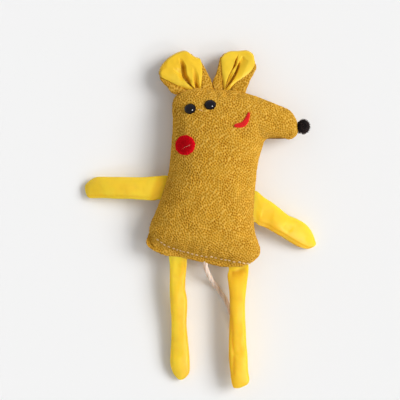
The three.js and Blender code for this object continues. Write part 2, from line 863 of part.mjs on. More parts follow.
const knotTop = knotDiameter + seamClearance;
const limbs = [
  ['left_arm', leftArm, leftArmHinge, 0],
  ['right_arm', rightArm, rightArmHinge, 0],
  ['left_leg', leftLeg, leftLegHinge, 0],
  ['right_leg', rightLeg, rightLegHinge, knotTop],
];
for (const [name, limb, hinge, support] of limbs) {
  const { cover, fill, sections } = limbLayers(limb);
  const turning = hingeGroup(hinge, restingDroop(sections, support));
  turning.add(piece(`${name}_cover`, cover, satin), piece(`${name}_fill`, fill, wadding));
  group.add(turning);
}

group.add(piece('tail_cord', tailCord(), cotton), piece('tail_knot', tailKnot(), cotton));

export default group;
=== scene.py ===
"""A small stuffed mouse toy for a cat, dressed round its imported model.

It is laid out as an add-on: one operator for each group of pieces, with their main sizes and
colours in one group of settings. Lengths in tables and named values are in millimetres, and
MM turns them into Blender's metres. Angles in them are in degrees, unless a comment gives
them in radians or in turns.
"""

import json
import math
import random
from contextlib import contextmanager

import bpy
import numpy as np
from bpy.props import FloatProperty, FloatVectorProperty, IntProperty, PointerProperty
from mathutils import Matrix, Vector, noise
from mathutils.bvhtree import BVHTree
from mathutils.kdtree import KDTree

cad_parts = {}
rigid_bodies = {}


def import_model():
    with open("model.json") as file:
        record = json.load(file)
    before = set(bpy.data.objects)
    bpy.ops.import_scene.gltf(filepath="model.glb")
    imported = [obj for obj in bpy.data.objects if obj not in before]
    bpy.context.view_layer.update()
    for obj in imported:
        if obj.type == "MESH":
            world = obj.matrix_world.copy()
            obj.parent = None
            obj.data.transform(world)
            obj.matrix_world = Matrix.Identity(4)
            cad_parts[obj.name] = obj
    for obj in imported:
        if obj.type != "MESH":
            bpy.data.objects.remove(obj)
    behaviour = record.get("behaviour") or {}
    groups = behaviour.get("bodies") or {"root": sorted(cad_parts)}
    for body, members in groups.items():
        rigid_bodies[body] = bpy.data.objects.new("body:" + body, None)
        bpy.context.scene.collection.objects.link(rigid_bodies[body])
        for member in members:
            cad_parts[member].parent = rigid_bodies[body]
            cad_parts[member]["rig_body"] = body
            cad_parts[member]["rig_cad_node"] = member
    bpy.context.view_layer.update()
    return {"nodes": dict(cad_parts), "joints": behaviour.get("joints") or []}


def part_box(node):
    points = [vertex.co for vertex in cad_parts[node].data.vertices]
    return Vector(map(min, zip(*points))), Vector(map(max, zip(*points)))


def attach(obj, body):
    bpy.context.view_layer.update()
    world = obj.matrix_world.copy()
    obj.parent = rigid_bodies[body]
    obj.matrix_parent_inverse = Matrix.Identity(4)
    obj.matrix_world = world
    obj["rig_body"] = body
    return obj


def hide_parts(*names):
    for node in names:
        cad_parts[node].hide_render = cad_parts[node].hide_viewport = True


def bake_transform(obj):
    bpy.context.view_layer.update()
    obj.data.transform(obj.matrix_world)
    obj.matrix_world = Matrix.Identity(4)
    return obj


bl_info = {
    "name": "Mouse Cat Toy",
    "version": (1, 0, 0),
    "blender": (4, 5, 0),
    "location": "View3D > Sidebar > Mouse Toy",
    "description": "Makes a stuffed mouse toy with a terry trunk, satin limbs and a cord tail",
    "category": "Add Mesh",
}

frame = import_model()

MM = 0.001
# Height of the seam between the trunk's two panels
SEAM_HEIGHT = 11.0
TRUNK = "trunk"


# Settings


class MouseToySettings(bpy.types.PropertyGroup):
    """Sizes and colours of the toy"""

    terry_colour: FloatVectorProperty(
        name="Terry", description="Colour of the trunk's and ears' terry",
        default=(0.606, 0.322, 0.0262), min=0, max=1, subtype="COLOR",
    )
    satin_colour: FloatVectorProperty(
        name="Satin", description="Colour of the limbs' and ear linings' satin",
        default=(0.93, 0.615, 0.041), min=0, max=1, subtype="COLOR",
    )
    felt_colour: FloatVectorProperty(
        name="Cheek felt", description="Colour of the cheek",
        default=(0.6, 0.003, 0.0085), min=0, max=1, subtype="COLOR",
    )
    mouth_colour: FloatVectorProperty(
        name="Mouth felt", description="Colour of the mouth",
        default=(0.76, 0.024, 0.022), min=0, max=1, subtype="COLOR",
    )
    cotton_colour: FloatVectorProperty(
        name="Cotton", description="Colour of the tail's cord",
        default=(0.83, 0.69, 0.585), min=0, max=1, subtype="COLOR",
    )
    thread_colour: FloatVectorProperty(
        name="Thread", description="Colour of the stitches that show",
        default=(0.97, 0.74, 0.43), min=0, max=1, subtype="COLOR",
    )
    terry_voxel: FloatProperty(
        name="Terry mesh", description="Size of the trunk's mesh before it is subdivided",
        default=0.66 * MM, min=0.5 * MM, max=3 * MM, unit="LENGTH",
    )
    puff_cap: FloatProperty(
        name="Puff", description="How far the stuffing may push the trunk's cloth out",
        default=0.7 * MM, min=0, max=3 * MM, unit="LENGTH",
    )
    bead_radius: FloatProperty(
        name="Bead", description="Radius of an eye bead",
        default=3.2 * MM, min=1 * MM, max=5 * MM, unit="LENGTH",
    )
    pompom_fibres: IntProperty(
        name="Pompom fibres", description="Number of clipped fibres on the nose",
        default=1500, min=100, max=4000,
    )
    stitch_length: FloatProperty(
        name="Stitch", description="Length of a stitch along the hem",
        default=1.35 * MM, min=0.5 * MM, max=5 * MM, unit="LENGTH",
    )
    tail_diameter: FloatProperty(
        name="Tail", description="Thickness of the tail's cord",
        default=2.5 * MM, min=1 * MM, max=5 * MM, unit="LENGTH",
    )


def settings():
    return bpy.context.scene.mouse_toy


# Tools for shaping


def deselect_all():
    if bpy.context.object and bpy.context.object.mode != "OBJECT":
        bpy.ops.object.mode_set(mode="OBJECT")
    bpy.ops.object.select_all(action="DESELECT")


def pick(piece):
    """Makes one piece the only one selected, and the active one"""
    deselect_all()
    piece.select_set(True)
    bpy.context.view_layer.objects.active = piece


def apply_modifier(piece, kind, **values):
    pick(piece)
    modifier = piece.modifiers.new(kind.title(), kind)
    for key, value in values.items():
        setattr(modifier, key, value)
    bpy.ops.object.modifier_apply(modifier=modifier.name)


def points_of(piece):
    points = np.zeros(len(piece.data.vertices) * 3, np.float32)
    piece.data.vertices.foreach_get("co", points)
    return points.reshape(-1, 3).astype(float)


def normals_of(piece):
    normals = np.zeros(len(piece.data.vertices) * 3, np.float32)
    piece.data.vertices.foreach_get("normal", normals)
    return normals.reshape(-1, 3).astype(float)


def put_points(piece, points):
    piece.data.vertices.foreach_set("co", np.asarray(points, np.float32).ravel())
    piece.data.update()


def keep_values(piece, name, values):
    """Stores a value for each vertex, for the piece's material"""
    attribute = piece.data.attributes.new(name, "FLOAT", "POINT")
    attribute.data.foreach_set("value", np.asarray(values, np.float32))


def smooth_faces(piece):
    pick(piece)
    bpy.ops.object.shade_smooth()


@contextmanager
def edited(piece):
    """Edit mode on one piece, with all of it selected"""
    pick(piece)
    bpy.ops.object.mode_set(mode="EDIT")
    bpy.ops.mesh.select_all(action="SELECT")
    yield
    bpy.ops.object.mode_set(mode="OBJECT")


def added(name, data):
    """A new object in the scene, such as a lamp, or a mesh that was made in code"""
    piece = bpy.data.objects.new(name, data)
    bpy.context.scene.collection.objects.link(piece)
    return piece


def primitive(operator, name, **sizes):
    """A new primitive, with nothing else selected"""
    deselect_all()
    operator(**sizes)
    piece = bpy.context.object
    piece.name = piece.data.name = name
    return piece


def copy_of(node, name):
    """A copy of a CAD solid with its doubles merged, free of its body"""
    piece = frame["nodes"][node].copy()
    piece.data = piece.data.copy()
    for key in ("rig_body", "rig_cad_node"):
        del piece[key]
    piece.parent = None
    piece.name = piece.data.name = name
    piece.data.materials.clear()
    bpy.context.scene.collection.objects.link(piece)
    with edited(piece):
        bpy.ops.mesh.remove_doubles(threshold=0.001 * MM)
    return piece


def joined(pieces, name):
    deselect_all()
    for piece in pieces:
        piece.select_set(True)
    bpy.context.view_layer.objects.active = pieces[0]
    bpy.ops.object.join()
    pieces[0].name = pieces[0].data.name = name
    return pieces[0]


def outermost_shell(piece, name):
    """Keeps the largest loose part, which is the skin round all the others"""
    pick(piece)
    bpy.ops.mesh.separate(type="LOOSE")
    parts = sorted(bpy.context.selected_objects, key=lambda part: part.dimensions.length)
    skin = parts.pop()
    for part in parts:
        bpy.data.objects.remove(part)
    skin.name = skin.data.name = name
    return skin


def smoothstep(low, high, values):
    shares = np.clip((np.asarray(values, float) - low) / (high - low), 0, 1)
    return shares * shares * (3 - 2 * shares)


def bell(values, middle, width):
    """1 at the middle, falling off smoothly over the width on both sides"""
    return np.exp(-((values - middle) / width) ** 2)


def lumps(points, size, seed):
    """Soft noise from -1 to 1 over points, with lumps of about that size"""
    shift = Vector((seed, 2 * seed, -seed))
    return np.array([noise.noise(Vector(point) / size + shift) for point in points])


def unevenness(points, layers):
    """Noise in millimetres over points in metres, from layers of height, lump size and seed"""
    return sum(height * lumps(points, size * MM, seed) for height, size, seed in layers)


def through(points, shares):
    """Places along a smooth line through points, by share of its length"""
    points = np.asarray(points, float)
    padded = np.vstack([2 * points[0] - points[1], points, 2 * points[-1] - points[-2]])
    lengths = np.linalg.norm(np.diff(points, axis=0), axis=1)
    knots = np.concatenate([[0], np.cumsum(lengths)]) / lengths.sum()
    found = []
    for share in np.clip(np.atleast_1d(shares), 0, 1):
        k = min(int(np.searchsorted(knots, share, side="right")) - 1, len(points) - 2)
        t = (share - knots[k]) / (knots[k + 1] - knots[k])
        a, b, c, d = padded[k:k + 4]
        found.append(0.5 * (
            2 * b + (c - a) * t + (2 * a - 5 * b + 4 * c - d) * t * t
            + (3 * b - a - 3 * c + d) * t ** 3
        ))
    return np.array(found)


def tube_blank(name, sides, steps):
    """A closed tube of radius 1 from 0 to 1 along Z, extruded from a disc in steps"""
    piece = primitive(
        bpy.ops.mesh.primitive_circle_add, name, vertices=sides, radius=1, fill_type="NGON",
    )
    with edited(piece):
        bpy.ops.mesh.extrude_repeat(steps=steps, offset=(0, 0, 1 / steps))
        bpy.ops.mesh.select_all(action="SELECT")
        bpy.ops.mesh.normals_make_consistent(inside=False)
    return piece


def tube_places(piece, steps):
    """Each vertex's angle round a tube blank, its share along it, and the number of its ring"""
    points = points_of(piece)
    shares = points[:, 2]
    rings = np.clip(np.round(shares * steps).astype(int), 0, steps)
    return np.arctan2(points[:, 1], points[:, 0]), shares, rings


def line_frames(line):
    """Side and up at each point of a line, turned no more than the line turns"""
    tangents = np.gradient(line, axis=0)
    tangents /= np.linalg.norm(tangents, axis=1)[:, None]
    sides = []
    last = np.array([1.0, 0.0, 0.0])
    for tangent in tangents:
        side = last - tangent * (last @ tangent)
        side /= np.linalg.norm(side)
        sides.append(side)
        last = side
    sides = np.array(sides)
    return sides, np.cross(tangents, sides)


def swept(route, rings, angles, radius):
    """Places round a line, from each vertex's ring, angle and radius"""
    sides, ups = line_frames(route)
    return route[rings] + radius[:, None] * (
        np.cos(angles)[:, None] * sides[rings] + np.sin(angles)[:, None] * ups[rings]
    )


def mesh_tree(piece):
    bpy.context.view_layer.update()
    return BVHTree.FromObject(piece, bpy.context.evaluated_depsgraph_get())


def drop_on(tree, x, y, below=False):
    """Where a piece's surface lies over, or under, a place in the plan"""
    start = Vector((x, y, -1.0 if below else 1.0))
    place, _, _, _ = tree.ray_cast(start, Vector((0, 0, 1 if below else -1)))
    return place


def along_line(flat, line):
    """Share along a line of the place nearest to each point, distance to its left, and direction

    Left is as seen by someone who walks along the line.
    """
    steps = 60
    route = through(line, np.linspace(0, 1, steps))
    offsets = flat[:, None, :] - route[None, :, :]
    nearest = np.argmin((offsets ** 2).sum(axis=2), axis=1)
    off = flat - route[nearest]
    tangent = np.gradient(route, axis=0)[nearest]
    side = np.sign(tangent[:, 0] * off[:, 1] - tangent[:, 1] * off[:, 0])
    return nearest / (steps - 1), side * np.linalg.norm(off, axis=1), tangent


def crease(flat, line, left, right, opening, closing):
    """1 on a line, falling off over its left and right widths, and fading at its two ends"""
    share, away, _ = along_line(flat, line)
    depth = bell(away, 0, np.where(away > 0, left, right))
    return depth * smoothstep(0, opening, share) * (1 - smoothstep(1 - closing, 1, share))


def nudged(points, nudges):
    """Points in millimetres moved by soft pushes: place in the plan, move and reach of each one"""
    points = points.copy()
    for x, y, aside, along, reach in nudges:
        near = np.exp(-((points[:, 0] - x) ** 2 + (points[:, 1] - y) ** 2) / reach ** 2)
        points[:, 0] += near * aside
        points[:, 1] += near * along
    return points


# Terry loops: their spacing, the rows that they stand in and how these slant, the distances
# from a gap's middle at which it begins and ends to rise, the lean of the loops and how far
# gaps are stretched along it, and how high a crest stands over a gap and how deep a gap sinks

LOOP_SPACING = 1.17
LOOP_ROW = 1.07
ROW_SLANT = 0.35
LOOP_GAP = (0.04, 0.68)
LOOP_LEAN = (0.5, -0.866, 0.0)
LOOP_STRETCH = 0.5
LOOP_RISE = 0.46
LOOP_SINK = 0.26

# Layers of noise, as height, lump size and seed: in the rows, in the gaps' width, and in how
# firmly the gaps are pressed
ROW_WANDER = [(1.1, 9, 6.1), (0.5, 3, 2.6)]
GAP_WANDER = [(0.22, 0.6, 5.2)]
PRESS_WANDER = [(0.35, 5, 3.3)]

# How much a loop's own tone counts for its press, and the least and the most press
PRESS_BY_TONE = 0.3
PRESS_RANGE = (0.3, 1.15)
TONE_SEED = 4


def terry_gaps(points):
    """How far each point lies from the nearest gap between the loops, and that gap's number

    The gaps stand in rows that wander a little, and never closer than the loops' spacing.
    """
    places = np.asarray(points) / MM
    wander = unevenness(points, ROW_WANDER)
    row = np.round((places[:, 1] + ROW_SLANT * places[:, 0] + wander) / LOOP_ROW)
    order = np.lexsort((places[:, 2], places[:, 0], row))
    tree = KDTree(len(places))
    for index, place in enumerate(places):
        tree.insert(place, index)
    tree.balance()
    taken = np.zeros(len(places), bool)
    distance = np.full(len(places), np.inf)
    number = np.zeros(len(places), int)
    gaps = []
    for index in order:
        if taken[index]:
            continue
        for _, other, away in tree.find_range(places[index], LOOP_SPACING * 1.25):
            if away < LOOP_SPACING:
                taken[other] = True
            if away < distance[other]:
                distance[other] = away
                number[other] = len(gaps)
        gaps.append(index)
    offsets = places - places[np.array(gaps)[number]]
    along = offsets @ np.array(LOOP_LEAN)
    return np.sqrt(np.maximum((offsets ** 2).sum(axis=1) - LOOP_STRETCH * along ** 2, 0)), number


def raise_loops(piece, gap, hold=1, firm=0.92):
    """Sinks the gaps between the loops into a piece's surface and keeps them for its material

    The loops vanish in a hollow where gap is 1, which the terry's colour shows as painted shade,
    and the surface stays as it is where hold is 0.
    """
    points = points_of(piece)
    distance, number = terry_gaps(points)
    distance += unevenness(points, GAP_WANDER)
    tone = np.random.default_rng(TONE_SEED).random(number.max() + 1)[number]
    pressed = firm + unevenness(points, PRESS_WANDER) + PRESS_BY_TONE * (tone - 0.5)
    height = 1 - (1 - smoothstep(*LOOP_GAP, distance)) * np.clip(pressed, *PRESS_RANGE)
    # Where gap is 1 the loop height falls to 0, which sinks the surface and paints the gap's shade
    height *= 1 - gap
    lift = (LOOP_RISE * height - LOOP_SINK) * hold
    put_points(piece, points + normals_of(piece) * (lift * MM)[:, None])
    keep_values(piece, "loop_height", height)
    keep_values(piece, "loop_tone", tone)


# Materials


class Recipe:
    """A material's nodes, added one by one and joined by their sockets"""

    def __init__(self, name):
        self.material = bpy.data.materials.new(f"toy_{name}")
        self.material.use_nodes = True
        self.tree = self.material.node_tree
        self.tree.nodes.clear()
        self.surface = self.node("ShaderNodeBsdfPrincipled")
        output = self.node("ShaderNodeOutputMaterial")
        self.link(self.surface.outputs["BSDF"], output.inputs["Surface"])
        self.straight = self.places()

    def node(self, kind, inputs=None, **values):
        made = self.tree.nodes.new(kind)
        for key, value in values.items():
            setattr(made, key, value)
        for key, value in (inputs or {}).items():
            made.inputs[key].default_value = value
        return made

    def link(self, source, target):
        self.tree.links.new(source, target)

    def places(self, turn=0):
        """Object coordinates in millimetres, turned about Z"""
        coordinates = self.node("ShaderNodeTexCoord")
        mapping = self.node("ShaderNodeMapping", {
            "Rotation": (0, 0, math.radians(turn)), "Scale": (1 / MM, 1 / MM, 1 / MM),
        })
        self.link(coordinates.outputs["Object"], mapping.inputs["Vector"])
        return mapping.outputs["Vector"]

    def noise(self, scale, detail, roughness=0.5, distortion=0.0):
        made = self.node("ShaderNodeTexNoise", {
            "Scale": scale, "Detail": detail, "Roughness": roughness, "Distortion": distortion,
        })
        self.link(self.straight, made.inputs["Vector"])
        return made.outputs["Fac"]

    def kept(self, name):
        """A value that the piece keeps for each vertex"""
        return self.node("ShaderNodeAttribute", attribute_name=name).outputs["Fac"]

    def ramp(self, source, stops):
        made = self.node("ShaderNodeValToRGB")
        elements = made.color_ramp.elements
        while len(elements) < len(stops):
            elements.new(0.5)
        for element, (place, colour) in zip(elements, stops):
            element.position = place
            element.color = (*colour, 1)
        self.link(source, made.inputs["Fac"])
        return made.outputs["Color"]

    def multiplied(self, first, second):
        made = self.node("ShaderNodeMix", data_type="RGBA", blend_type="MULTIPLY")
        made.inputs["Factor"].default_value = 1.0
        colours = [socket for socket in made.inputs if socket.type == "RGBA"]
        self.link(first, colours[0])
        self.link(second, colours[1])
        return next(socket for socket in made.outputs if socket.type == "RGBA")

    def bump(self, source, strength, distance, under=None):
        made = self.node("ShaderNodeBump", {"Strength": strength, "Distance": distance * MM})
        self.link(source, made.inputs["Height"])
        if under is not None:
            self.link(under, made.inputs["Normal"])
        return made.outputs["Normal"]

    def finish(self, **values):
        """Sets the surface's inputs, each to a number, a colour or another node's socket"""
        for key, value in values.items():
            target = self.surface.inputs[key.replace("_", " ")]
            if isinstance(value, bpy.types.NodeSocket):
                self.link(value, target)
            else:
                target.default_value = value
        return self.material


def grey(level):
    return (level, level, level)


def shade(colour, level):
    return tuple(min(1.0, channel * level) for channel in colour)


def tint(colour, shares, lift=0.0):
    return tuple(share * channel + lift for share, channel in zip(shares, colour))


def terry_material():
    """Looped knit: painted shade in the gaps and painted light on the crests, each loop with its
    own tone, and fine fuzz
    """
    colour = tuple(settings().terry_colour)
    recipe = Recipe("terry")
    height = recipe.kept("loop_height")
    # Painted shade in the gaps between the loops, and painted light on their crests, with a pale
    # lift there as a painted highlight
    tones = recipe.ramp(height, [
        (0.0, tint(colour, (0.57, 0.42, 0.27))), (0.35, tint(colour, (0.84, 0.76, 0.68))),
        (0.7, colour), (1.0, tint(colour, (1.17, 1.25, 1.5), lift=0.034)),
    ])
    yarn = recipe.ramp(recipe.kept("loop_tone"), [
        (0.0, (0.9, 0.88, 0.84)), (1.0, (1.08, 1.08, 1.1)),
    ])
    patches = recipe.noise(scale=0.2, detail=3.0, roughness=0.6)
    wear = recipe.ramp(patches, [(0.3, (0.92, 0.91, 0.88)), (0.7, (1.06, 1.06, 1.08))])
    fuzz = recipe.noise(scale=3.4, detail=3.0, roughness=0.65)
    relief = recipe.bump(height, strength=0.5, distance=0.25)
    return recipe.finish(
        Base_Color=recipe.multiplied(recipe.multiplied(tones, yarn), wear),
        Normal=recipe.bump(fuzz, strength=0.4, distance=0.16, under=relief),
        Roughness=0.97, Specular_IOR_Level=0.02,
    )


def satin_material(name, level, glow):
    """Thin shiny cloth with a very fine slanting weave and faint creases

    Glow is the share of light that comes back through the wadding behind it. Level makes the whole
    cloth lighter or darker, as painted light or shade.
    """
    colour = shade(settings().satin_colour, level)
    warm = (1.0, 0.9, 0.5, 1)
    recipe = Recipe(name)
    tones = recipe.ramp(recipe.noise(scale=0.16, detail=2.0), [
        (0.3, shade(colour, 0.93)), (0.5, colour), (0.72, shade(colour, 1.04)),
    ])
    # Painted shade in the folds, along seams, on turned-away sides and at roots, from a value each
    # piece keeps, warmer as it deepens
    depth = recipe.ramp(recipe.kept("painted_shade"), [
        (0.0, (1, 1, 1)), (0.12, (0.96, 0.91, 0.68)), (0.3, (0.89, 0.78, 0.48)),
        (0.7, (0.58, 0.44, 0.17)), (1.0, (0.45, 0.33, 0.09)),
    ])
    weave = recipe.node("ShaderNodeTexWave", {"Scale": 1.1, "Distortion": 0.6, "Detail": 1.0})
    recipe.link(recipe.places(turn=38), weave.inputs["Vector"])
    creases = recipe.noise(scale=0.2, detail=2.0, roughness=0.45, distortion=0.6)
    folds = recipe.bump(creases, strength=0.2, distance=0.9)
    return recipe.finish(
        Base_Color=recipe.multiplied(tones, depth),
        Normal=recipe.bump(weave.outputs["Fac"], strength=0.06, distance=0.1, under=folds),
        Roughness=0.48, Specular_IOR_Level=0.22, Specular_Tint=warm, Anisotropic=0.25,
        Sheen_Weight=0.03, Sheen_Roughness=0.35, Sheen_Tint=warm,
        Subsurface_Weight=glow, Subsurface_Radius=(1.0, 0.7, 0.15), Subsurface_Scale=5 * MM,
    )


def felt_material(name, colour):
    """Pressed fibres, lighter where they stand up, with a painted highlight along the cut edge"""
    recipe = Recipe(name)
    fibres = recipe.noise(scale=2.2, detail=4.0, roughness=0.7, distortion=1.2)
    tones = recipe.ramp(fibres, [
        (0.3, shade(colour, 0.75)), (0.55, colour), (0.8, shade(colour, 1.3)),
    ])
    # Painted highlight: the felt gets lighter and paler towards its cut edge, and a little darker
    # in the middle
    rim = recipe.ramp(recipe.kept("felt_edge"), [
        (0.0, grey(0.9)), (0.7, grey(0.96)), (0.88, (1.25, 1.5, 1.5)), (1.0, (1.4, 2.0, 2.0)),
    ])
    return recipe.finish(
        Base_Color=recipe.multiplied(tones, rim),
        Normal=recipe.bump(fibres, strength=0.5, distance=0.25),
        Roughness=0.95, Specular_IOR_Level=0.02,
    )


def bead_material():
    """Black glass-like plastic with the faint unevenness of a moulded bead"""
    recipe = Recipe("bead")
    film = recipe.noise(scale=0.7, detail=2.0)
    return recipe.finish(
        Base_Color=recipe.ramp(film, [(0.3, (0.002, 0.0012, 0.002)), (0.8, (0.008, 0.004, 0.012))]),
        Normal=recipe.bump(film, strength=0.015, distance=0.2),
        Roughness=recipe.ramp(film, [(0.35, grey(0.075)), (0.7, grey(0.09))]),
        Specular_IOR_Level=0.25, IOR=1.4,
    )


def yarn_material():
    """Clipped black yarn with brownish tips"""
    recipe = Recipe("yarn")
    strands = recipe.noise(scale=0.9, detail=3.0, roughness=0.7)
    tones = recipe.ramp(strands, [
        (0.35, (0.004, 0.002, 0.0025)), (0.55, (0.026, 0.013, 0.013)), (0.7, (0.14, 0.08, 0.07)),
    ])
    return recipe.finish(
        Base_Color=tones, Normal=recipe.bump(strands, strength=0.6, distance=0.4),
        Roughness=0.9, Specular_IOR_Level=0.12, Sheen_Weight=0.06,
    )


def cotton_material(name, colour):
    """Twisted cotton: fine fibres along the strands, with painted shade in the hollows between them
    """
    recipe = Recipe(name)
    fibres = recipe.noise(scale=3.2, detail=3.0, roughness=0.65, distortion=0.5)
    tones = recipe.ramp(fibres, [
        (0.3, shade(colour, 0.8)), (0.55, colour), (0.75, shade(colour, 1.12)),
    ])
    # Painted shade in the hollows between the strands, and a faint painted light on their crests
    strand_shade = recipe.ramp(recipe.kept("strand_height"), [
        (0.0, (0.66, 0.58, 0.52)), (0.35, (0.93, 0.9, 0.88)), (1.0, (1.05, 1.05, 1.06)),
    ])
    return recipe.finish(
        Base_Color=recipe.multiplied(tones, strand_shade),
        Normal=recipe.bump(fibres, strength=0.45, distance=0.2),
        Roughness=0.9, Specular_IOR_Level=0.2, Sheen_Weight=0.2, Subsurface_Weight=0.35,
        Subsurface_Radius=(1.0, 0.8, 0.6), Subsurface_Scale=2 * MM,
    )


def material(name):
    """The toy's finishes, each made once, under names that the frame's own materials don't use"""
    made = bpy.data.materials.get(f"toy_{name}")
    if made:
        return made
    makers = {
        "terry": terry_material,
        # Painted light and shade: the ear linings' satin is made a little darker, and the limbs'
        # satin a little lighter, than the cloth's own colour
        "satin": lambda: satin_material("satin", level=0.98, glow=0.0),
        "stuffed_satin": lambda: satin_material("stuffed_satin", level=1.06, glow=0.8),
        "felt": lambda: felt_material("felt", tuple(settings().felt_colour)),
        "mouth_felt": lambda: felt_material("mouth_felt", tuple(settings().mouth_colour)),
        "bead": bead_material,
        "yarn": yarn_material,
        "cotton": lambda: cotton_material("cotton", tuple(settings().cotton_colour)),
        "thread": lambda: cotton_material("thread", tuple(settings().thread_colour)),
    }
    return makers[name]()


def dress(piece, finish, body=None):
    """Gives a finished piece its material and its body"""
    piece.data.materials.clear()
    piece.data.materials.append(material(finish))
    smooth_faces(piece)
    if body:
        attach(piece, body)
    return piece


# Hinge frames: the origin on a hinge, X along it, Y out along the drooping limb


def hinge_frame(joint_name, droop=None, fill=None):
    """A hinge's frame: it droops by the angle given, or by that of the wadding beyond it"""
    joint = next(j for j in frame["joints"] if j["name"] == joint_name)
    origin = Vector(joint["pos_m"])
    axis = Vector(joint["axis"]).normalized()
    outward = Vector((-axis.y, axis.x, 0))
    if fill:
        points = points_of(frame["nodes"][fill])
        reach = (points - np.array(origin)) @ np.array(outward)
        run = Vector(points[np.argmax(reach)]) - Vector(points[np.argmin(reach)])
        droop = math.atan2(-run.z, run.dot(outward))
    turn = Matrix.Rotation(-droop, 3, axis)
    return origin, axis, turn @ outward, turn @ Vector((0, 0, 1))


def from_hinge(hinge, points):
    """Points in millimetres in a hinge's frame, placed in the toy's frame in metres"""
    origin, across, out, up = (np.array(part) for part in hinge)
    points = np.asarray(points, float) * MM
    return origin + points[:, :1] * across + points[:, 1:2] * out + points[:, 2:3] * up


def to_hinge(hinge, points):
    origin, across, out, up = (np.array(part) for part in hinge)
    offsets = (np.asarray(points, float) - origin) / MM
    return np.stack([offsets @ across, offsets @ out, offsets @ up], axis=1)


# Stage

VIEW_CENTRE = (-3.1, 0.0)
VIEW_WIDTH = 208.0
CAMERA_HEIGHT = 1500.0
SENSOR = 36.0
# In metres: the distances that the camera sees between, and the floor's width
CLIP_RANGE = (0.01, 20)
FLOOR_SIZE = 6
FLOOR_GREY = 0.9
BACKGROUND_GREY = 0.96
WORLD_STRENGTH = 0.46

# Each sun's azimuth and height, its width, its strength, and whether matt surfaces and gloss
# take its light
SUNS = {
    "key_sun": (14, 44, 34, 2.2, True, False),
    "low_sun": (-32, 40, 8, 0.3, True, True),
    "eye_sun": (-35, 46, 18, 7.0, False, True),
}


def shown_by(choice, first, second, tree, output):
    """Ends a node tree in its second shader where the choice is 1, and in its first elsewhere"""
    blend = tree.nodes.new("ShaderNodeMixShader")
    for source, target in zip((choice, first, second), blend.inputs):
        tree.links.new(source, target)
    tree.links.new(blend.outputs["Shader"], tree.nodes.new(output).inputs["Surface"])


class MOUSETOY_OT_stage(bpy.types.Operator):
    """Sets up the camera straight above the toy, the floor and soft light from the right"""

    bl_idname = "mouse_toy.stage"
    bl_label = "Camera, floor and light"

    def execute(self, context):
        camera = added("camera", bpy.data.cameras.new("camera"))
        camera.location = [MM * value for value in (*VIEW_CENTRE, CAMERA_HEIGHT)]
        camera.data.sensor_width = SENSOR
        camera.data.lens = SENSOR * (CAMERA_HEIGHT - SEAM_HEIGHT) / VIEW_WIDTH
        camera.data.clip_start, camera.data.clip_end = CLIP_RANGE
        context.scene.camera = camera

        floor = primitive(bpy.ops.mesh.primitive_plane_add, "floor", size=FLOOR_SIZE)
        floor.data.materials.append(self.floor_material())

        for name, values in SUNS.items():
            self.sun(name, *values)
        context.scene.world = self.world()
        context.scene.view_settings.view_transform = "Standard"
        return {"FINISHED"}

    def sun(self, name, azimuth, height, width, strength, on_matt, on_gloss):
        lamp = added(name, bpy.data.lights.new(name, "SUN"))
        lamp.data.energy = strength
        lamp.data.angle = math.radians(width)
        side, lift = math.radians(azimuth), math.radians(height)
        towards = Vector((
            math.cos(side) * math.cos(lift), math.sin(side) * math.cos(lift), math.sin(lift),
        ))
        lamp.rotation_mode = "QUATERNION"
        lamp.rotation_quaternion = towards.to_track_quat("Z", "Y")
        lamp.visible_diffuse = on_matt
        lamp.visible_glossy = on_gloss

    def world(self):
        """Even light, with a pale background for the camera, for gloss and for clear things"""
        made = bpy.data.worlds.new("studio")
        made.use_nodes = True
        tree = made.node_tree
        tree.nodes.clear()
        light = tree.nodes.new("ShaderNodeBackground")
        light.inputs["Color"].default_value = (*grey(1), 1)
        light.inputs["Strength"].default_value = WORLD_STRENGTH
        pale = tree.nodes.new("ShaderNodeBackground")
        pale.inputs["Color"].default_value = (*grey(BACKGROUND_GREY), 1)
        rays = tree.nodes.new("ShaderNodeLightPath")
        seen = rays.outputs["Is Camera Ray"]
        for kind in ("Is Glossy Ray", "Is Transmission Ray"):
            either = tree.nodes.new("ShaderNodeMath")
            either.operation = "MAXIMUM"
            tree.links.new(seen, either.inputs[0])
            tree.links.new(rays.outputs[kind], either.inputs[1])
            seen = either.outputs["Value"]
        shown_by(seen, light.outputs[0], pale.outputs[0], tree, "ShaderNodeOutputWorld")
        return made

    def floor_material(self):
        """Pale and matt, and see-through from below so that low views keep the toy in sight"""
        made = bpy.data.materials.new("floor")
        made.use_nodes = True
        tree = made.node_tree
        tree.nodes.clear()
        matt = tree.nodes.new("ShaderNodeBsdfDiffuse")
        matt.inputs["Color"].default_value = (*grey(FLOOR_GREY), 1)
        clear = tree.nodes.new("ShaderNodeBsdfTransparent")
        below = tree.nodes.new("ShaderNodeNewGeometry").outputs["Backfacing"]
        shown_by(below, matt.outputs[0], clear.outputs[0], tree, "ShaderNodeOutputMaterial")
        return made


# Tail: the route of its middle from the hem to the far end, and where it starts between the
# hem's plies

TAIL_ROUTE = [
    (-0.3, -33.3, 11), (0, -35.4, 10.7), (0.8, -37.8, 9.2), (1.9, -40.1, 6.7),
    (3.3, -42.5, 4), (5.1, -45, 2.1), (7.5, -48.2, 1.35), (10.1, -52, 1.3),
    (12, -56.3, 1.3), (13.7, -60.7, 1.3), (15.2, -65, 1.3), (16.3, -69.4, 1.3),
    (16.9, -74, 1.3), (17, -78.6, 1.3),
]
TAIL_ROOT = (-0.5, -31.9, 11)
STRAND_COUNT = 3
# A strand's radius, and its middle's distance from the cord's, as shares of the cord's radius
STRAND_RADIUS = 0.77
STRAND_PLACE = 0.27
# Length over which each strand takes the next one's place
TAIL_TWIST = 5.2

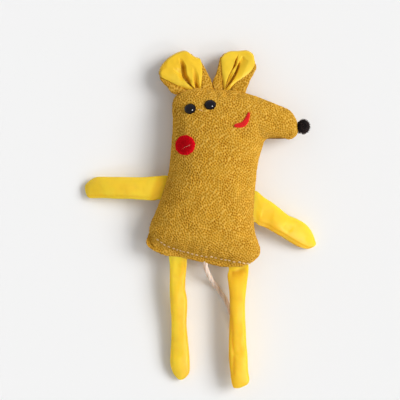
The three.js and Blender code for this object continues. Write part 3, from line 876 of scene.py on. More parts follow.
# The knot: how often the cord goes round, the share of a turn at which it starts, its reach
# aside, along and up, its cord's radius as a share of the tail's thickness, how far the
# strands turn in radians, the share of its length at which it frays, and how widely it does
KNOT_TURNS = 1.55
KNOT_START = 0.1
KNOT_REACH = (1.3, 3.0, 1.25)
KNOT_RADIUS = 0.43
KNOT_TWIST = 9
FRAY_START = 0.93
FRAY_WIDTH = 0.35
# Where the cord goes into the knot, from the tail's end, and where it comes out: its places
# from the knot's middle aside and from its low end along, and their heights
KNOT_IN = [(0, -0.2, 0), (0, -0.9, 0.4)]
KNOT_OUT = [(0.2, 0.9, 1.4), (0.5, -1.4, 1.15)]


def strand_radius(angles):
    """Outline of the strands laid together, as a share of the cord's radius"""
    spacing = 2 * math.pi / STRAND_COUNT
    off = np.abs((angles + spacing / 2) % spacing - spacing / 2)
    outer = np.maximum(STRAND_RADIUS ** 2 - (STRAND_PLACE * np.sin(off)) ** 2, 0)
    return STRAND_PLACE * np.cos(off) + np.sqrt(outer)


def strand_height(angles):
    """0 in the hollows between the strands, 1 on their crests"""
    radii = strand_radius(angles)
    return (radii - radii.min()) / (radii.max() - radii.min())


class MOUSETOY_OT_tail(bpy.types.Operator):
    """Lays the twisted cord of the tail and ties the knot on its end"""

    bl_idname = "mouse_toy.tail"
    bl_label = "Tail"

    def execute(self, context):
        thick = settings().tail_diameter / MM
        steps, sides = 190, 27
        route = through([TAIL_ROOT, *TAIL_ROUTE], np.linspace(0, 1, steps + 1))
        length = np.linalg.norm(np.diff(route, axis=0), axis=1).sum()
        cord = tube_blank("tail_cord_twisted", sides, steps)
        angles, shares, rings = tube_places(cord, steps)
        twist = 2 * math.pi * shares * length / TAIL_TWIST / STRAND_COUNT
        radius = thick / 2 * strand_radius(angles - twist)
        put_points(cord, swept(route, rings, angles, radius) * MM)
        keep_values(cord, "strand_height", strand_height(angles - twist))
        dress(cord, "cotton", TRUNK)
        knot = self.tie_knot(route[-1], thick)
        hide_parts("tail_cord")
        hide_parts("tail_knot")
        return {"FINISHED"}

    def tie_knot(self, end, thick):
        """An overhand knot: the cord wraps once round itself and ends in a short frayed tip"""
        low, high = (np.array(corner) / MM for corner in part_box("tail_knot"))
        middle = (low + high) / 2
        along = np.linspace(0, 1, 9)
        turn = 2 * math.pi * (KNOT_TURNS * along + KNOT_START)
        aside, run, up = KNOT_REACH
        wrap = np.stack([
            middle[0] + aside * np.cos(turn), middle[1] + run / 2 - run * along,
            middle[2] + up * np.sin(turn),
        ], axis=1)
        leaving = [(middle[0] + x, low[1] + y, z) for x, y, z in KNOT_OUT]
        line = np.vstack([end + np.array(KNOT_IN), wrap, leaving])
        steps, sides = 120, 21
        route = through(line, np.linspace(0, 1, steps + 1))
        knot = tube_blank("tail_knot_tied", sides, steps)
        angles, shares, rings = tube_places(knot, steps)
        twist = KNOT_TWIST * shares
        fray = 1 + FRAY_WIDTH * smoothstep(FRAY_START, 1, shares) * (1 + 0.5 * np.sin(5 * angles))
        radius = KNOT_RADIUS * thick * strand_radius(angles - twist) * fray
        points = swept(route, rings, angles, radius)
        points[:, 2] = np.maximum(points[:, 2], 0.05)
        put_points(knot, points * MM)
        keep_values(knot, "strand_height", strand_height(angles - twist))
        return dress(knot, "cotton", TRUNK)


# Trunk: the hem's stitch line, the gap between the plies at the hem's low left corner and the
# fold that starts at the throat, each as a line in the plan

HEM_STITCH_LINE = [
    (-24.9, -20.4), (-23.3, -22.0), (-21.6, -22.9), (-19.2, -24.1), (-16.4, -25.2),
    (-13.1, -26.3), (-9.3, -27.3), (-6.4, -27.9), (-4.1, -28.3), (-1.7, -28.9), (2.5, -29.4),
    (5.9, -30.2), (12.0, -31.5), (14.8, -32.2), (17.2, -32.4), (19.1, -32.7), (21.9, -33.1),
]
HEM_CORNER_LINE = [
    (-30.2, -15.6), (-29.6, -18.7), (-29.1, -20.7), (-28.6, -22.1), (-27.8, -23.4), (-26.2, -24.7),
]
THROAT_FOLD = [(30.0, 31.9), (28.2, 34.4), (27.0, 38.0), (26.4, 42.0), (25.4, 46.5)]

# Places where the stuffing pushes the outline out: place, push aside and along, and its reach
OUTLINE_NUDGES = [
    (-17.5, 50.5, -0.5, 0.2, 6.0), (-6.0, 56.5, 0.0, 1.1, 9.0), (10.0, 56.0, 0.0, 0.4, 8.0),
    (50.0, 35.5, 0.3, -0.3, 4.0), (-29.6, -14.5, -0.5, 0.0, 4.5), (-31.2, -22.0, -0.3, -0.1, 2.0),
    (43.5, 31.0, 0.0, -0.55, 4.0), (29.2, 27.2, 0.35, 0.0, 3.0),
]

# Heights from the seam, and from the floor, over which the cloth comes free to be blown up
SEAM_HOLD = (0.6, 2.4)
FLOOR_HOLD = (1.2, 0.3)
# Distances over the stitch line at which the hem begins and is full
HEM_START = (0.6, -0.9)
# Half width and depth of the groove along the seam
SEAM_GROOVE = (0.9, 0.5)
# Distance from the seam at which the cloth is gathered, and how far the gathers spread
GATHERS = (2.2, 1.8)
# Layers of noise, as height, lump size and seed: the fluff and the waves of the hem's edge,
# the hem's rise and fall, the gathers beside the seam, and the lumps of the whole skin
HEM_FLUFF = [(0.42, 2.1, 3.1)]
HEM_WAVES = [(0.25, 6, 4.4)]
HEM_HEIGHT = [(0.4, 8, 1.3)]
GATHER_FOLDS = [(0.16, 2.6, 7.7)]
SKIN_LUMPS = [(0.18, 7, 5.0)]
# The band in which the stitches tuck the cloth in, the depth and width of the tuck, and the
# height, place aside of the stitches and width of the bulge below it
HEM_BAND = (-38, -15)
HEM_TUCK = (0.5, 0.75)
HEM_BULGE = (0.22, -2.0, 1.1)
# The corner's gap: where the corner begins in the plan, how high the front ply stays over the
# seam there, the gap's place aside of its line, where it opens and shuts along it, its depth
# and width in the cloth, and the darkness and width of the painted shade along it in the loops
CORNER_BOX = (-22, -14)
CORNER_PLY = 0.35
CORNER_ASIDE = -0.15
CORNER_OPEN = (0.15, 0.4)
CORNER_SHUT = (0.8, 1)
CORNER_GROOVE = (0.35, 0.5)
CORNER_SHADE = (0.62, 0.55)
# The throat's fold: where its corner of the plan begins, its depth, and its widths on the left
# and on the right
THROAT_BOX = (8, 22)
THROAT_DEPTH = 0.75
THROAT_WIDTHS = (2.2, 1.6)


def hold_and_puff(piece, held, cap):
    """Blows a cloth skin up a little by simulation, ten times its size, with a part of it held"""
    enlarged = 10
    steps = 20
    start = points_of(piece)
    put_points(piece, start * enlarged)
    group = piece.vertex_groups.new(name="held")
    for index, share in enumerate(held):
        if share > 0:
            group.add([index], float(share), "REPLACE")
    pick(piece)
    cloth = piece.modifiers.new("Cloth", "CLOTH")
    cloth.settings.vertex_group_mass = "held"
    cloth.settings.quality = 4
    cloth.settings.mass = 0.3
    cloth.settings.tension_stiffness = cloth.settings.compression_stiffness = 15
    cloth.settings.bending_stiffness = 0.4
    cloth.settings.shrink_min = -0.05
    cloth.settings.use_pressure = True
    cloth.settings.uniform_pressure_force = 4
    cloth.settings.effector_weights.gravity = 0
    cloth.collision_settings.use_collision = False
    for step in range(1, steps + 1):
        bpy.context.scene.frame_set(step)
    bpy.ops.object.modifier_apply(modifier=cloth.name)
    bpy.context.scene.frame_set(1)
    moved = points_of(piece) / enlarged - start
    reach = np.linalg.norm(moved, axis=1)
    moved *= (np.tanh(reach / cap) * cap / np.maximum(reach, 1e-9))[:, None]
    put_points(piece, start + moved)
    piece.vertex_groups.clear()


class MOUSETOY_OT_trunk(bpy.types.Operator):
    """Sews the stuffed trunk: a front and a back of terry with a seam groove and a soft hem"""

    bl_idname = "mouse_toy.trunk"
    bl_label = "Trunk"

    def execute(self, context):
        seam = SEAM_HEIGHT * MM
        overlap = 0.1 * MM
        at_seam = 0.2 * MM
        panels = []
        for node, side in (("body_front_panel", 1), ("body_back_panel", -1)):
            panel = copy_of(node, f"{node}_blank")
            points = points_of(panel)
            near = np.abs(points[:, 2] - seam) < at_seam
            points[near, 2] = seam - side * overlap
            put_points(panel, points)
            panels.append(panel)
        skin = joined(panels, "trunk_skin")
        apply_modifier(skin, "REMESH", mode="VOXEL", voxel_size=settings().terry_voxel)
        skin = outermost_shell(skin, "trunk_skin")
        apply_modifier(skin, "SMOOTH", factor=0.5, iterations=3)

        points = points_of(skin)
        thin = self.hem_share(points)
        lift = np.abs(points[:, 2] - seam) / MM
        held = np.clip(1 - smoothstep(*SEAM_HOLD, lift) + thin, 0, 1)
        resting = smoothstep(*FLOOR_HOLD, points[:, 2] / MM)
        hold_and_puff(skin, np.maximum(held, resting), settings().puff_cap)
        apply_modifier(skin, "SUBSURF", levels=1, render_levels=1)
        self.shape_details(skin)
        points = points_of(skin)
        off_floor = smoothstep(0.1, 1.2, points[:, 2] / MM)
        # The gap at the hem's corner gets painted shade in the loops, which sink there too
        raise_loops(skin, self.corner_gap_shade(points), hold=off_floor)
        self.split_at_seam(skin)
        return {"FINISHED"}

    def hem_share(self, points):
        """1 on the flat hem below the stuffing, 0 above it"""
        line = np.array(HEM_STITCH_LINE) * MM
        level = np.interp(points[:, 0], line[:, 0], line[:, 1])
        begins, full = (MM * distance for distance in HEM_START)
        return smoothstep(begins, full, points[:, 1] - level)

    def shape_details(self, skin):
        """Seam groove, gathers beside it, the hem's tuck and fluffy edge, and the throat's fold"""
        points, normals = points_of(skin), normals_of(skin)
        lift = (points[:, 2] - SEAM_HEIGHT * MM) / MM
        level = normals.copy()
        level[:, 2] = 0
        half_width, depth = SEAM_GROOVE
        groove = np.clip(1 - np.abs(lift) / half_width, 0, 1) ** 2
        hem = self.hem_share(points)
        points -= level * (groove * (1 - hem) * depth * MM)[:, None]
        ragged = unevenness(points * [1, 1, 0.5], HEM_FLUFF) + unevenness(points, HEM_WAVES)
        points += level * (ragged * hem * MM)[:, None]
        points[:, 2] += hem * unevenness(points * [1, 0.4, 0], HEM_HEIGHT) * MM
        beside = bell(np.abs(lift), *GATHERS) * (1 - hem)
        gathers = unevenness(points * [1, 1, 0.25], GATHER_FOLDS) * beside
        off_floor = smoothstep(0.2, 1.6, points[:, 2] / MM)
        soft = unevenness(points, SKIN_LUMPS) * off_floor
        points += normals * ((gathers + soft) * MM)[:, None]
        points = self.tuck_hem(points)
        points = self.fold_throat(points, normals)
        points = nudged(points / MM, OUTLINE_NUDGES) * MM
        points[:, 2] = np.maximum(points[:, 2], 0.02 * MM)
        put_points(skin, points)

    def tuck_hem(self, points):
        """Draws the cloth in along the stitches, and sets the front ply back at the low corner"""
        flat = points[:, :2] / MM
        low, high = HEM_BAND
        near = np.flatnonzero((flat[:, 1] < high) & (flat[:, 1] > low))
        _, away, _ = along_line(flat[near], HEM_STITCH_LINE)
        depth, width = HEM_TUCK
        bulge, place, bulge_width = HEM_BULGE
        drawn = depth * bell(away, 0, width) - bulge * bell(away, place, bulge_width)
        lift = points[near, 2] / MM - SEAM_HEIGHT
        points[near, 2] -= np.sign(lift) * drawn * smoothstep(0.4, 1.2, np.abs(lift)) * MM
        near, share, away = self.by_corner(points)
        shut = 1 - smoothstep(*CORNER_SHUT, share)
        back = smoothstep(0.1, -0.35, away) * smoothstep(0, 0.2, share) * shut
        lift = points[near, 2] / MM - SEAM_HEIGHT
        depth, width = CORNER_GROOVE
        groove = depth * bell(away, CORNER_ASIDE, width)
        groove *= smoothstep(*CORNER_OPEN, share) * shut
        points[near, 2] -= (np.maximum(lift - CORNER_PLY, 0) * back + groove) * MM
        return points

    def corner_gap_shade(self, points):
        """Painted shade in the loops along the gap between the plies at the hem's low left corner,
        1 along its middle
        """
        near, share, away = self.by_corner(points)
        dark, width = CORNER_SHADE
        gap = np.zeros(len(points))
        ends = smoothstep(*CORNER_OPEN, share) * (1 - 0.8 * smoothstep(0.75, 1, share))
        gap[near] = dark * bell(away, CORNER_ASIDE, width) * ends
        return gap

    def by_corner(self, points):
        """The front's points by the low left corner, and where they lie along its line"""
        flat = points[:, :2] / MM
        right, top = CORNER_BOX
        front = points[:, 2] > SEAM_HEIGHT * MM
        near = np.flatnonzero((flat[:, 0] < right) & (flat[:, 1] < top) & front)
        share, away, _ = along_line(flat[near], HEM_CORNER_LINE)
        return near, share, away

    def fold_throat(self, points, normals):
        """A shallow fold that runs from the throat's corner up over the front and the back"""
        flat = points[:, :2] / MM
        left, bottom = THROAT_BOX
        for side in (1, -1):
            facing = normals[:, 2] * side > 0
            near = np.flatnonzero((flat[:, 0] > left) & (flat[:, 1] > bottom) & facing)
            fold = crease(flat[near], THROAT_FOLD, *THROAT_WIDTHS, opening=0.05, closing=0.8)
            points[near] -= normals[near] * (fold * THROAT_DEPTH * MM)[:, None]
        return points

    def split_at_seam(self, skin):
        """Cuts the skin along the seam into the two panels, each closed inside"""
        back = skin.copy()
        back.data = skin.data.copy()
        bpy.context.scene.collection.objects.link(back)
        for piece, name, node, keep_top in (
            (skin, "body_front_terry", "body_front_panel", True),
            (back, "body_back_terry", "body_back_panel", False),
        ):
            with edited(piece):
                bpy.ops.mesh.bisect(
                    plane_co=(0, 0, SEAM_HEIGHT * MM), plane_no=(0, 0, 1), use_fill=True,
                    clear_inner=keep_top, clear_outer=not keep_top,
                )
            piece.name = piece.data.name = name
            dress(piece, "terry", TRUNK)
            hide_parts(node)
        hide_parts("body_fill")


# Stitches: middles of those on the front, and how deep each one lies in the terry

HEM_STITCHES = [
    (-25.0, -20.5, 0.0), (-23.1, -21.9, 0.0), (-21.6, -23.1, 0.0), (-19.2, -24.2, 0.0),
    (-16.8, -25.1, 0.15), (-15.0, -25.7, 0.5), (-13.2, -26.2, 0.42), (-11.6, -26.7, 0.42),
    (-9.3, -27.2, 0.0), (-7.1, -27.9, 0.05), (-4.8, -28.5, 0.1), (-2.2, -29.0, 0.05),
    (0.2, -29.4, 0.2), (2.8, -29.4, 0.05), (5.1, -29.9, 0.1), (8.0, -30.6, 0.25),
    (10.1, -31.0, 0.35), (12.1, -31.3, 0.05), (14.6, -32.0, 0.0), (17.4, -32.2, 0.0),
    (19.6, -32.8, 0.0), (21.7, -33.0, 0.0),
]
STITCH_RADIUS = 0.36
STITCH_TWIST = 1.6
# How high a stitch's middle stands over its ends, and how deep the ends lie in the terry
STITCH_ARCH = 0.36
STITCH_SINK = 0.1
# How far on the back's stitches lie, as a share of a stitch
BACK_SHIFT = 0.75


def thread_piece(name, lines, radius, twist):
    """Joins short lengths of twisted thread, each along its own line with rounded ends

    The twist is in half turns over each length.
    """
    steps, sides = 14, 10
    made = []
    for index, line in enumerate(lines):
        route = through(line, np.linspace(0, 1, steps + 1))
        piece = tube_blank(f"{name}_{index}", sides, steps)
        angles, shares, rings = tube_places(piece, steps)
        taper = np.sqrt(np.clip(1 - np.abs(2 * shares - 1) ** 4, 0.02, 1))
        strands = np.cos(2 * (angles - twist * math.pi * shares))
        size = radius * taper * (1 + 0.13 * strands)
        put_points(piece, swept(route, rings, angles, size) * MM)
        keep_values(piece, "strand_height", (1 + strands) / 2)
        made.append(piece)
    return dress(joined(made, name), "thread", TRUNK)


class MOUSETOY_OT_hem_stitches(bpy.types.Operator):
    """Runs the pale topstitch along the hem, on the front and on the back"""

    bl_idname = "mouse_toy.hem_stitches"
    bl_label = "Hem stitches"

    def execute(self, context):
        route = np.array([place[:2] for place in HEM_STITCHES])
        slopes = np.gradient(route, axis=0)
        slopes /= np.linalg.norm(slopes, axis=1)[:, None]
        long = settings().stitch_length / MM
        for name, cover, below in (
            ("hem_topstitch_front", "body_front_terry", False),
            ("hem_topstitch_back", "body_back_terry", True),
        ):
            tree = mesh_tree(bpy.data.objects[cover])
            lines = []
            for (x, y, sunk), slope in zip(HEM_STITCHES, slopes):
                middle = np.array((x, y)) + slope * (long * BACK_SHIFT if below else 0)
                line = self.stitch(tree, middle, slope * long, sunk, below)
                if line is not None:
                    lines.append(line)
            thread_piece(name, lines, STITCH_RADIUS, STITCH_TWIST)
        return {"FINISHED"}

    def stitch(self, tree, middle, run, sunk, below):
        """A stitch's line over the cloth, or None where there is too little cloth under it"""
        line = []
        for share in np.linspace(-0.5, 0.5, 5):
            spot = middle + run * share
            place = drop_on(tree, spot[0] * MM, spot[1] * MM, below)
            if place is None:
                continue
            lift = STITCH_ARCH * math.cos(math.pi * share) - STITCH_SINK - sunk
            line.append((*spot, place.z / MM + (-lift if below else lift)))
        if len(line) < 3:
            return None
        level = np.array(line)
        level[:, 2] = 0.5 * level[:, 2] + 0.5 * level[:, 2].mean()
        return level


# Face: how far its thread pulls each bead aside and along, and its length for its width

EYES = {"left_eye_bead": (0.3, -0.25, 0.91), "right_eye_bead": (0.0, -0.42, 0.89)}
# Thickness of a bead for its width, and the dimple's place below its middle, width and depth
# as shares of its radius
EYE_FLATNESS = 0.96
DIMPLE_PLACE = 0.35
DIMPLE_WIDTH = 0.3
DIMPLE_DEPTH = 0.35

# Single threads: the places that each runs over, its lift off the cloth, radius and twist
EYE_THREAD = ([(-4.5, 46.9), (-3.6, 46.7), (-2.6, 46.3), (-1.6, 45.9)], 0.05, 0.1, 5)
CHEEK_STITCH = ([(-12.3, 26.4), (-11.0, 27.1), (-9.6, 27.8), (-7.8, 28.5)], 0.03, 0.065, 4)

# The cheek's move along and its growth from the solid's place and radius
CHEEK_MOVE = -0.15
CHEEK_GROWTH = 0.12
CHEEK_THICKNESS = 0.85
# The raggedness of its cut: height as a share of its radius, number of waves and their shift
CHEEK_CUT = [(0.012, 9, 1), (0.01, 23, 0)]

# The middle of the mouth from left to right, with its width there
MOUTH = [
    (14.4, 38.1, 1.7), (15.8, 38.4, 2.3), (17.8, 38.6, 2.7), (19.5, 39.3, 3.0),
    (20.8, 41.0, 2.7), (21.6, 42.9, 2.1), (22.1, 44.6, 1.5), (22.3, 45.4, 1.0),
]
MOUTH_THICKNESS = 0.75

# The pompom's move aside and its growth, its core's size as a share of its own, the height,
# size and seed of the core's bumps, the radius and length of the fibres, how deep their roots
# lie, how far they lean, and the shares between which their lengths vary
NOSE_MOVE = -0.1
NOSE_GROWTH = 0.35
CORE_SHARE = 0.74
CORE_BUMPS = (0.05, 0.3, 2.0)
FIBRE_RADIUS = 0.16
FIBRE_LENGTH = 1.5
FIBRE_ROOT = 0.28
FIBRE_LEAN = 0.45
FIBRE_SHARES = (0.75, 1.05)
FIBRE_SEED = 5
# Tufts and notches in its outline: direction and width, and share of its radius
NOSE_TUFTS = [(-128, 9, 0.16), (-113, 6, -0.16), (-88, 16, 0.05), (128, 18, -0.07), (72, 16, 0.05)]


class MOUSETOY_OT_face(bpy.types.Operator):
    """Sews on the bead eyes, the cheek, the mouth and the pompom nose"""

    bl_idname = "mouse_toy.face"
    bl_label = "Face"

    def execute(self, context):
        tree = mesh_tree(bpy.data.objects["body_front_terry"])
        for node in EYES:
            self.eye(node)
        self.lay_thread("eye_thread", tree, *EYE_THREAD)
        self.cheek(tree)
        self.mouth(tree)
        self.nose()
        return {"FINISHED"}

    def eye(self, node):
        """A round bead, slightly flattened, with a dimple where its thread goes in"""
        low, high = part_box(node)
        radius = settings().bead_radius
        aside, along, long = EYES[node]
        centre = Vector((
            (low.x + high.x) / 2 + aside * MM, (low.y + high.y) / 2 + along * MM, high.z - radius,
        ))
        bead = primitive(
            bpy.ops.mesh.primitive_uv_sphere_add, f"{node}_polished",
            segments=40, ring_count=24, radius=radius, location=centre,
        )
        bpy.ops.object.transform_apply(location=True, rotation=True, scale=True)
        points = points_of(bead)
        offsets = (points - np.array(centre)) / radius
        hole = np.hypot(offsets[:, 1], offsets[:, 2] + DIMPLE_PLACE)
        dent = np.clip(1 - hole / DIMPLE_WIDTH, 0, 1) ** 2 * DIMPLE_DEPTH
        points[:, 0] -= np.sign(offsets[:, 0]) * dent * radius
        points[:, 1] = centre.y + offsets[:, 1] * radius * long
        points[:, 2] = centre.z + offsets[:, 2] * radius * EYE_FLATNESS
        put_points(bead, points)
        dress(bead, "bead", TRUNK)
        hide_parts(node)

    def lay_thread(self, name, tree, route, lift, radius, twist):
        """One thread that runs over a surface"""
        line = [(x, y, drop_on(tree, x * MM, y * MM).z / MM + lift) for x, y in route]
        thread_piece(name, [line], radius, twist)

    def felt_on(self, tree, piece, outline_share, thickness, node, finish):
        """Lays a flat blank on the trunk, with soft edges: outline_share is 1 at its edge"""
        points = points_of(piece)
        top = points[:, 2] > 0
        reach = 0.4 * MM
        around = ((0, 0), (reach, 0), (-reach, 0), (0, reach), (0, -reach))
        for index, point in enumerate(points):
            x, y, _ = point
            near = [drop_on(tree, x + aside, y + along) for aside, along in around]
            edge = outline_share[index]
            rise = thickness * (1 - 0.75 * edge ** 5)
            rise += 0.05 * noise.noise(Vector(point) / (0.7 * MM))
            points[index, 2] = max(place.z for place in near) + (rise if top[index] else -0.5) * MM
        put_points(piece, points)
        keep_values(piece, "felt_edge", outline_share)
        dress(piece, finish, TRUNK)
        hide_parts(node)

    def cheek(self, tree):
        """A disc of felt with a slightly ragged cut, and the stitch that holds it"""
        low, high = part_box("cheek_patch")
        centre = (low + high) / 2
        centre.y += CHEEK_MOVE * MM
        radius = (high.x - low.x) / 2 + CHEEK_GROWTH * MM
        patch = primitive(
            bpy.ops.mesh.primitive_cylinder_add, "cheek_felt", vertices=56, radius=radius,
            depth=1 * MM, location=(centre.x, centre.y, 0), end_fill_type="TRIFAN",
        )
        bpy.ops.object.transform_apply(location=True, rotation=True, scale=True)
        with edited(patch):
            bpy.ops.mesh.subdivide(number_cuts=5)
        points = points_of(patch)
        offsets = points[:, :2] - np.array(centre)[:2]
        share = np.hypot(offsets[:, 0], offsets[:, 1]) / radius
        angle = np.arctan2(offsets[:, 1], offsets[:, 0])
        ragged = sum(tall * np.sin(waves * angle + shift) for tall, waves, shift in CHEEK_CUT)
        points[:, :2] = np.array(centre)[:2] + offsets * (1 + ragged * share)[:, None]
        put_points(patch, points)
        edge = np.clip(share, 0, 1)
        self.felt_on(tree, patch, edge, CHEEK_THICKNESS, "cheek_patch", "felt")
        self.lay_thread("cheek_stitch", mesh_tree(patch), *CHEEK_STITCH)

    def mouth(self, tree):
        """A crescent of felt"""
        steps, sides = 34, 12
        line = through(MOUTH, np.linspace(0, 1, steps + 1))
        middle, half = line[:, :2], line[:, 2] / 2
        tangent = np.gradient(middle, axis=0)
        tangent /= np.linalg.norm(tangent, axis=1)[:, None]
        normal = np.stack([-tangent[:, 1], tangent[:, 0]], axis=1)
        patch = tube_blank("mouth_felt", sides, steps)
        angles, shares, rings = tube_places(patch, steps)
        blunt = np.sqrt(np.clip(1 - (2 * shares - 1) ** 12, 0.03, 1))
        across = np.cos(angles) * half[rings] * blunt
        flat = middle[rings] + normal[rings] * across[:, None]
        points = np.column_stack([flat * MM, np.where(np.sin(angles) > 0.01, 1.0, -1.0) * MM])
        put_points(patch, points)
        edge = np.maximum(np.abs(np.cos(angles)), np.abs(2 * shares - 1) ** 8)
        self.felt_on(tree, patch, edge, MOUTH_THICKNESS, "mouth_patch", "mouth_felt")

    def nose(self):
        """A ball of clipped yarn: a bumpy core with fibres standing out of it all round"""
        low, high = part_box("nose_pompom")
        centre = Vector((
            low.x / 2 + high.x / 2 + NOSE_MOVE * MM, (low.y + high.y) / 2, (low.z + high.z) / 2,
        ))
        reach = Vector((
            (high.x - low.x) / 2 + NOSE_GROWTH * MM, (high.y - low.y) / 2, (high.z - low.z) / 2,
        ))
        core = primitive(
            bpy.ops.mesh.primitive_ico_sphere_add, "nose_core", subdivisions=4, radius=1,
        )
        points = points_of(core)
        tall, size, seed = CORE_BUMPS
        bumps = CORE_SHARE + tall * lumps(points, size, seed)
        put_points(core, np.array(centre) + points * bumps[:, None] * np.array(reach))
        nose = joined([core, self.fibres(centre, reach)], "nose_yarn")
        with edited(nose):
            bpy.ops.mesh.normals_make_consistent(inside=False)
        dress(nose, "yarn", TRUNK)
        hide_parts("nose_pompom")

    def fibres(self, centre, reach):
        """Three-sided fibres, spread evenly round a centre by the golden angle"""
        fibre = primitive(
            bpy.ops.mesh.primitive_cone_add, "fibre", vertices=3, radius1=FIBRE_RADIUS * MM,
            depth=FIBRE_LENGTH * MM, end_fill_type="NGON",
        )
        shape = points_of(fibre)
        bpy.data.objects.remove(fibre)
        count = settings().pompom_fibres
        random.seed(FIBRE_SEED)
        vertices, faces = [], []
        golden = math.pi * (3 - math.sqrt(5))
        for index in range(count):
            height = 1 - 2 * (index + 0.5) / count
            ring = math.sqrt(1 - height * height)
            angle = index * golden
            direction = Vector((ring * math.cos(angle), ring * math.sin(angle), height))
            bearing = math.degrees(math.atan2(direction.y, direction.x))
            tufts = sum(share * bell(bearing, place, width) for place, width, share in NOSE_TUFTS)
            depth = 1 + tufts * ring - FIBRE_ROOT
            root = Vector([direction[k] * reach[k] * depth for k in range(3)]) + centre
            lean = direction + Vector([random.uniform(-FIBRE_LEAN, FIBRE_LEAN) for _ in range(3)])
            turn = lean.to_track_quat("Z", "Y").to_matrix()
            long = random.uniform(*FIBRE_SHARES)
            base = len(vertices)
            for x, y, z in shape:
                vertices.append(root + turn @ Vector((x, y, (z + FIBRE_LENGTH / 2 * MM) * long)))
            for corners in ((0, 2, 1), (0, 1, 3), (1, 2, 3), (2, 0, 3)):
                faces.append([base + corner for corner in corners])
        mesh = bpy.data.meshes.new("nose_fibres")
        mesh.from_pydata(vertices, [], faces)
        return added("nose_fibres", mesh)


# Limbs. Rows give the low edge's and the high edge's place, as shares of the width and the
# length in the limb's own lean, and a share of the thickness. The root is a share of the width,
# and a low crown gives squarer sides. The seam has the angle round the limb, in radians, of the
# edge that it runs by, its distance from that edge, its depth and the darkness of the painted
# shade along it. The tone is the painted shade on the low edge, the middle and the high edge,
# where the sides turn from the light, and the root shadow is painted shade where the trunk
# shades the root. Folds are lines in the hinge's frame, with a depth, the widths on the left and
# the right, and the darkness of the painted shade in the hollow.

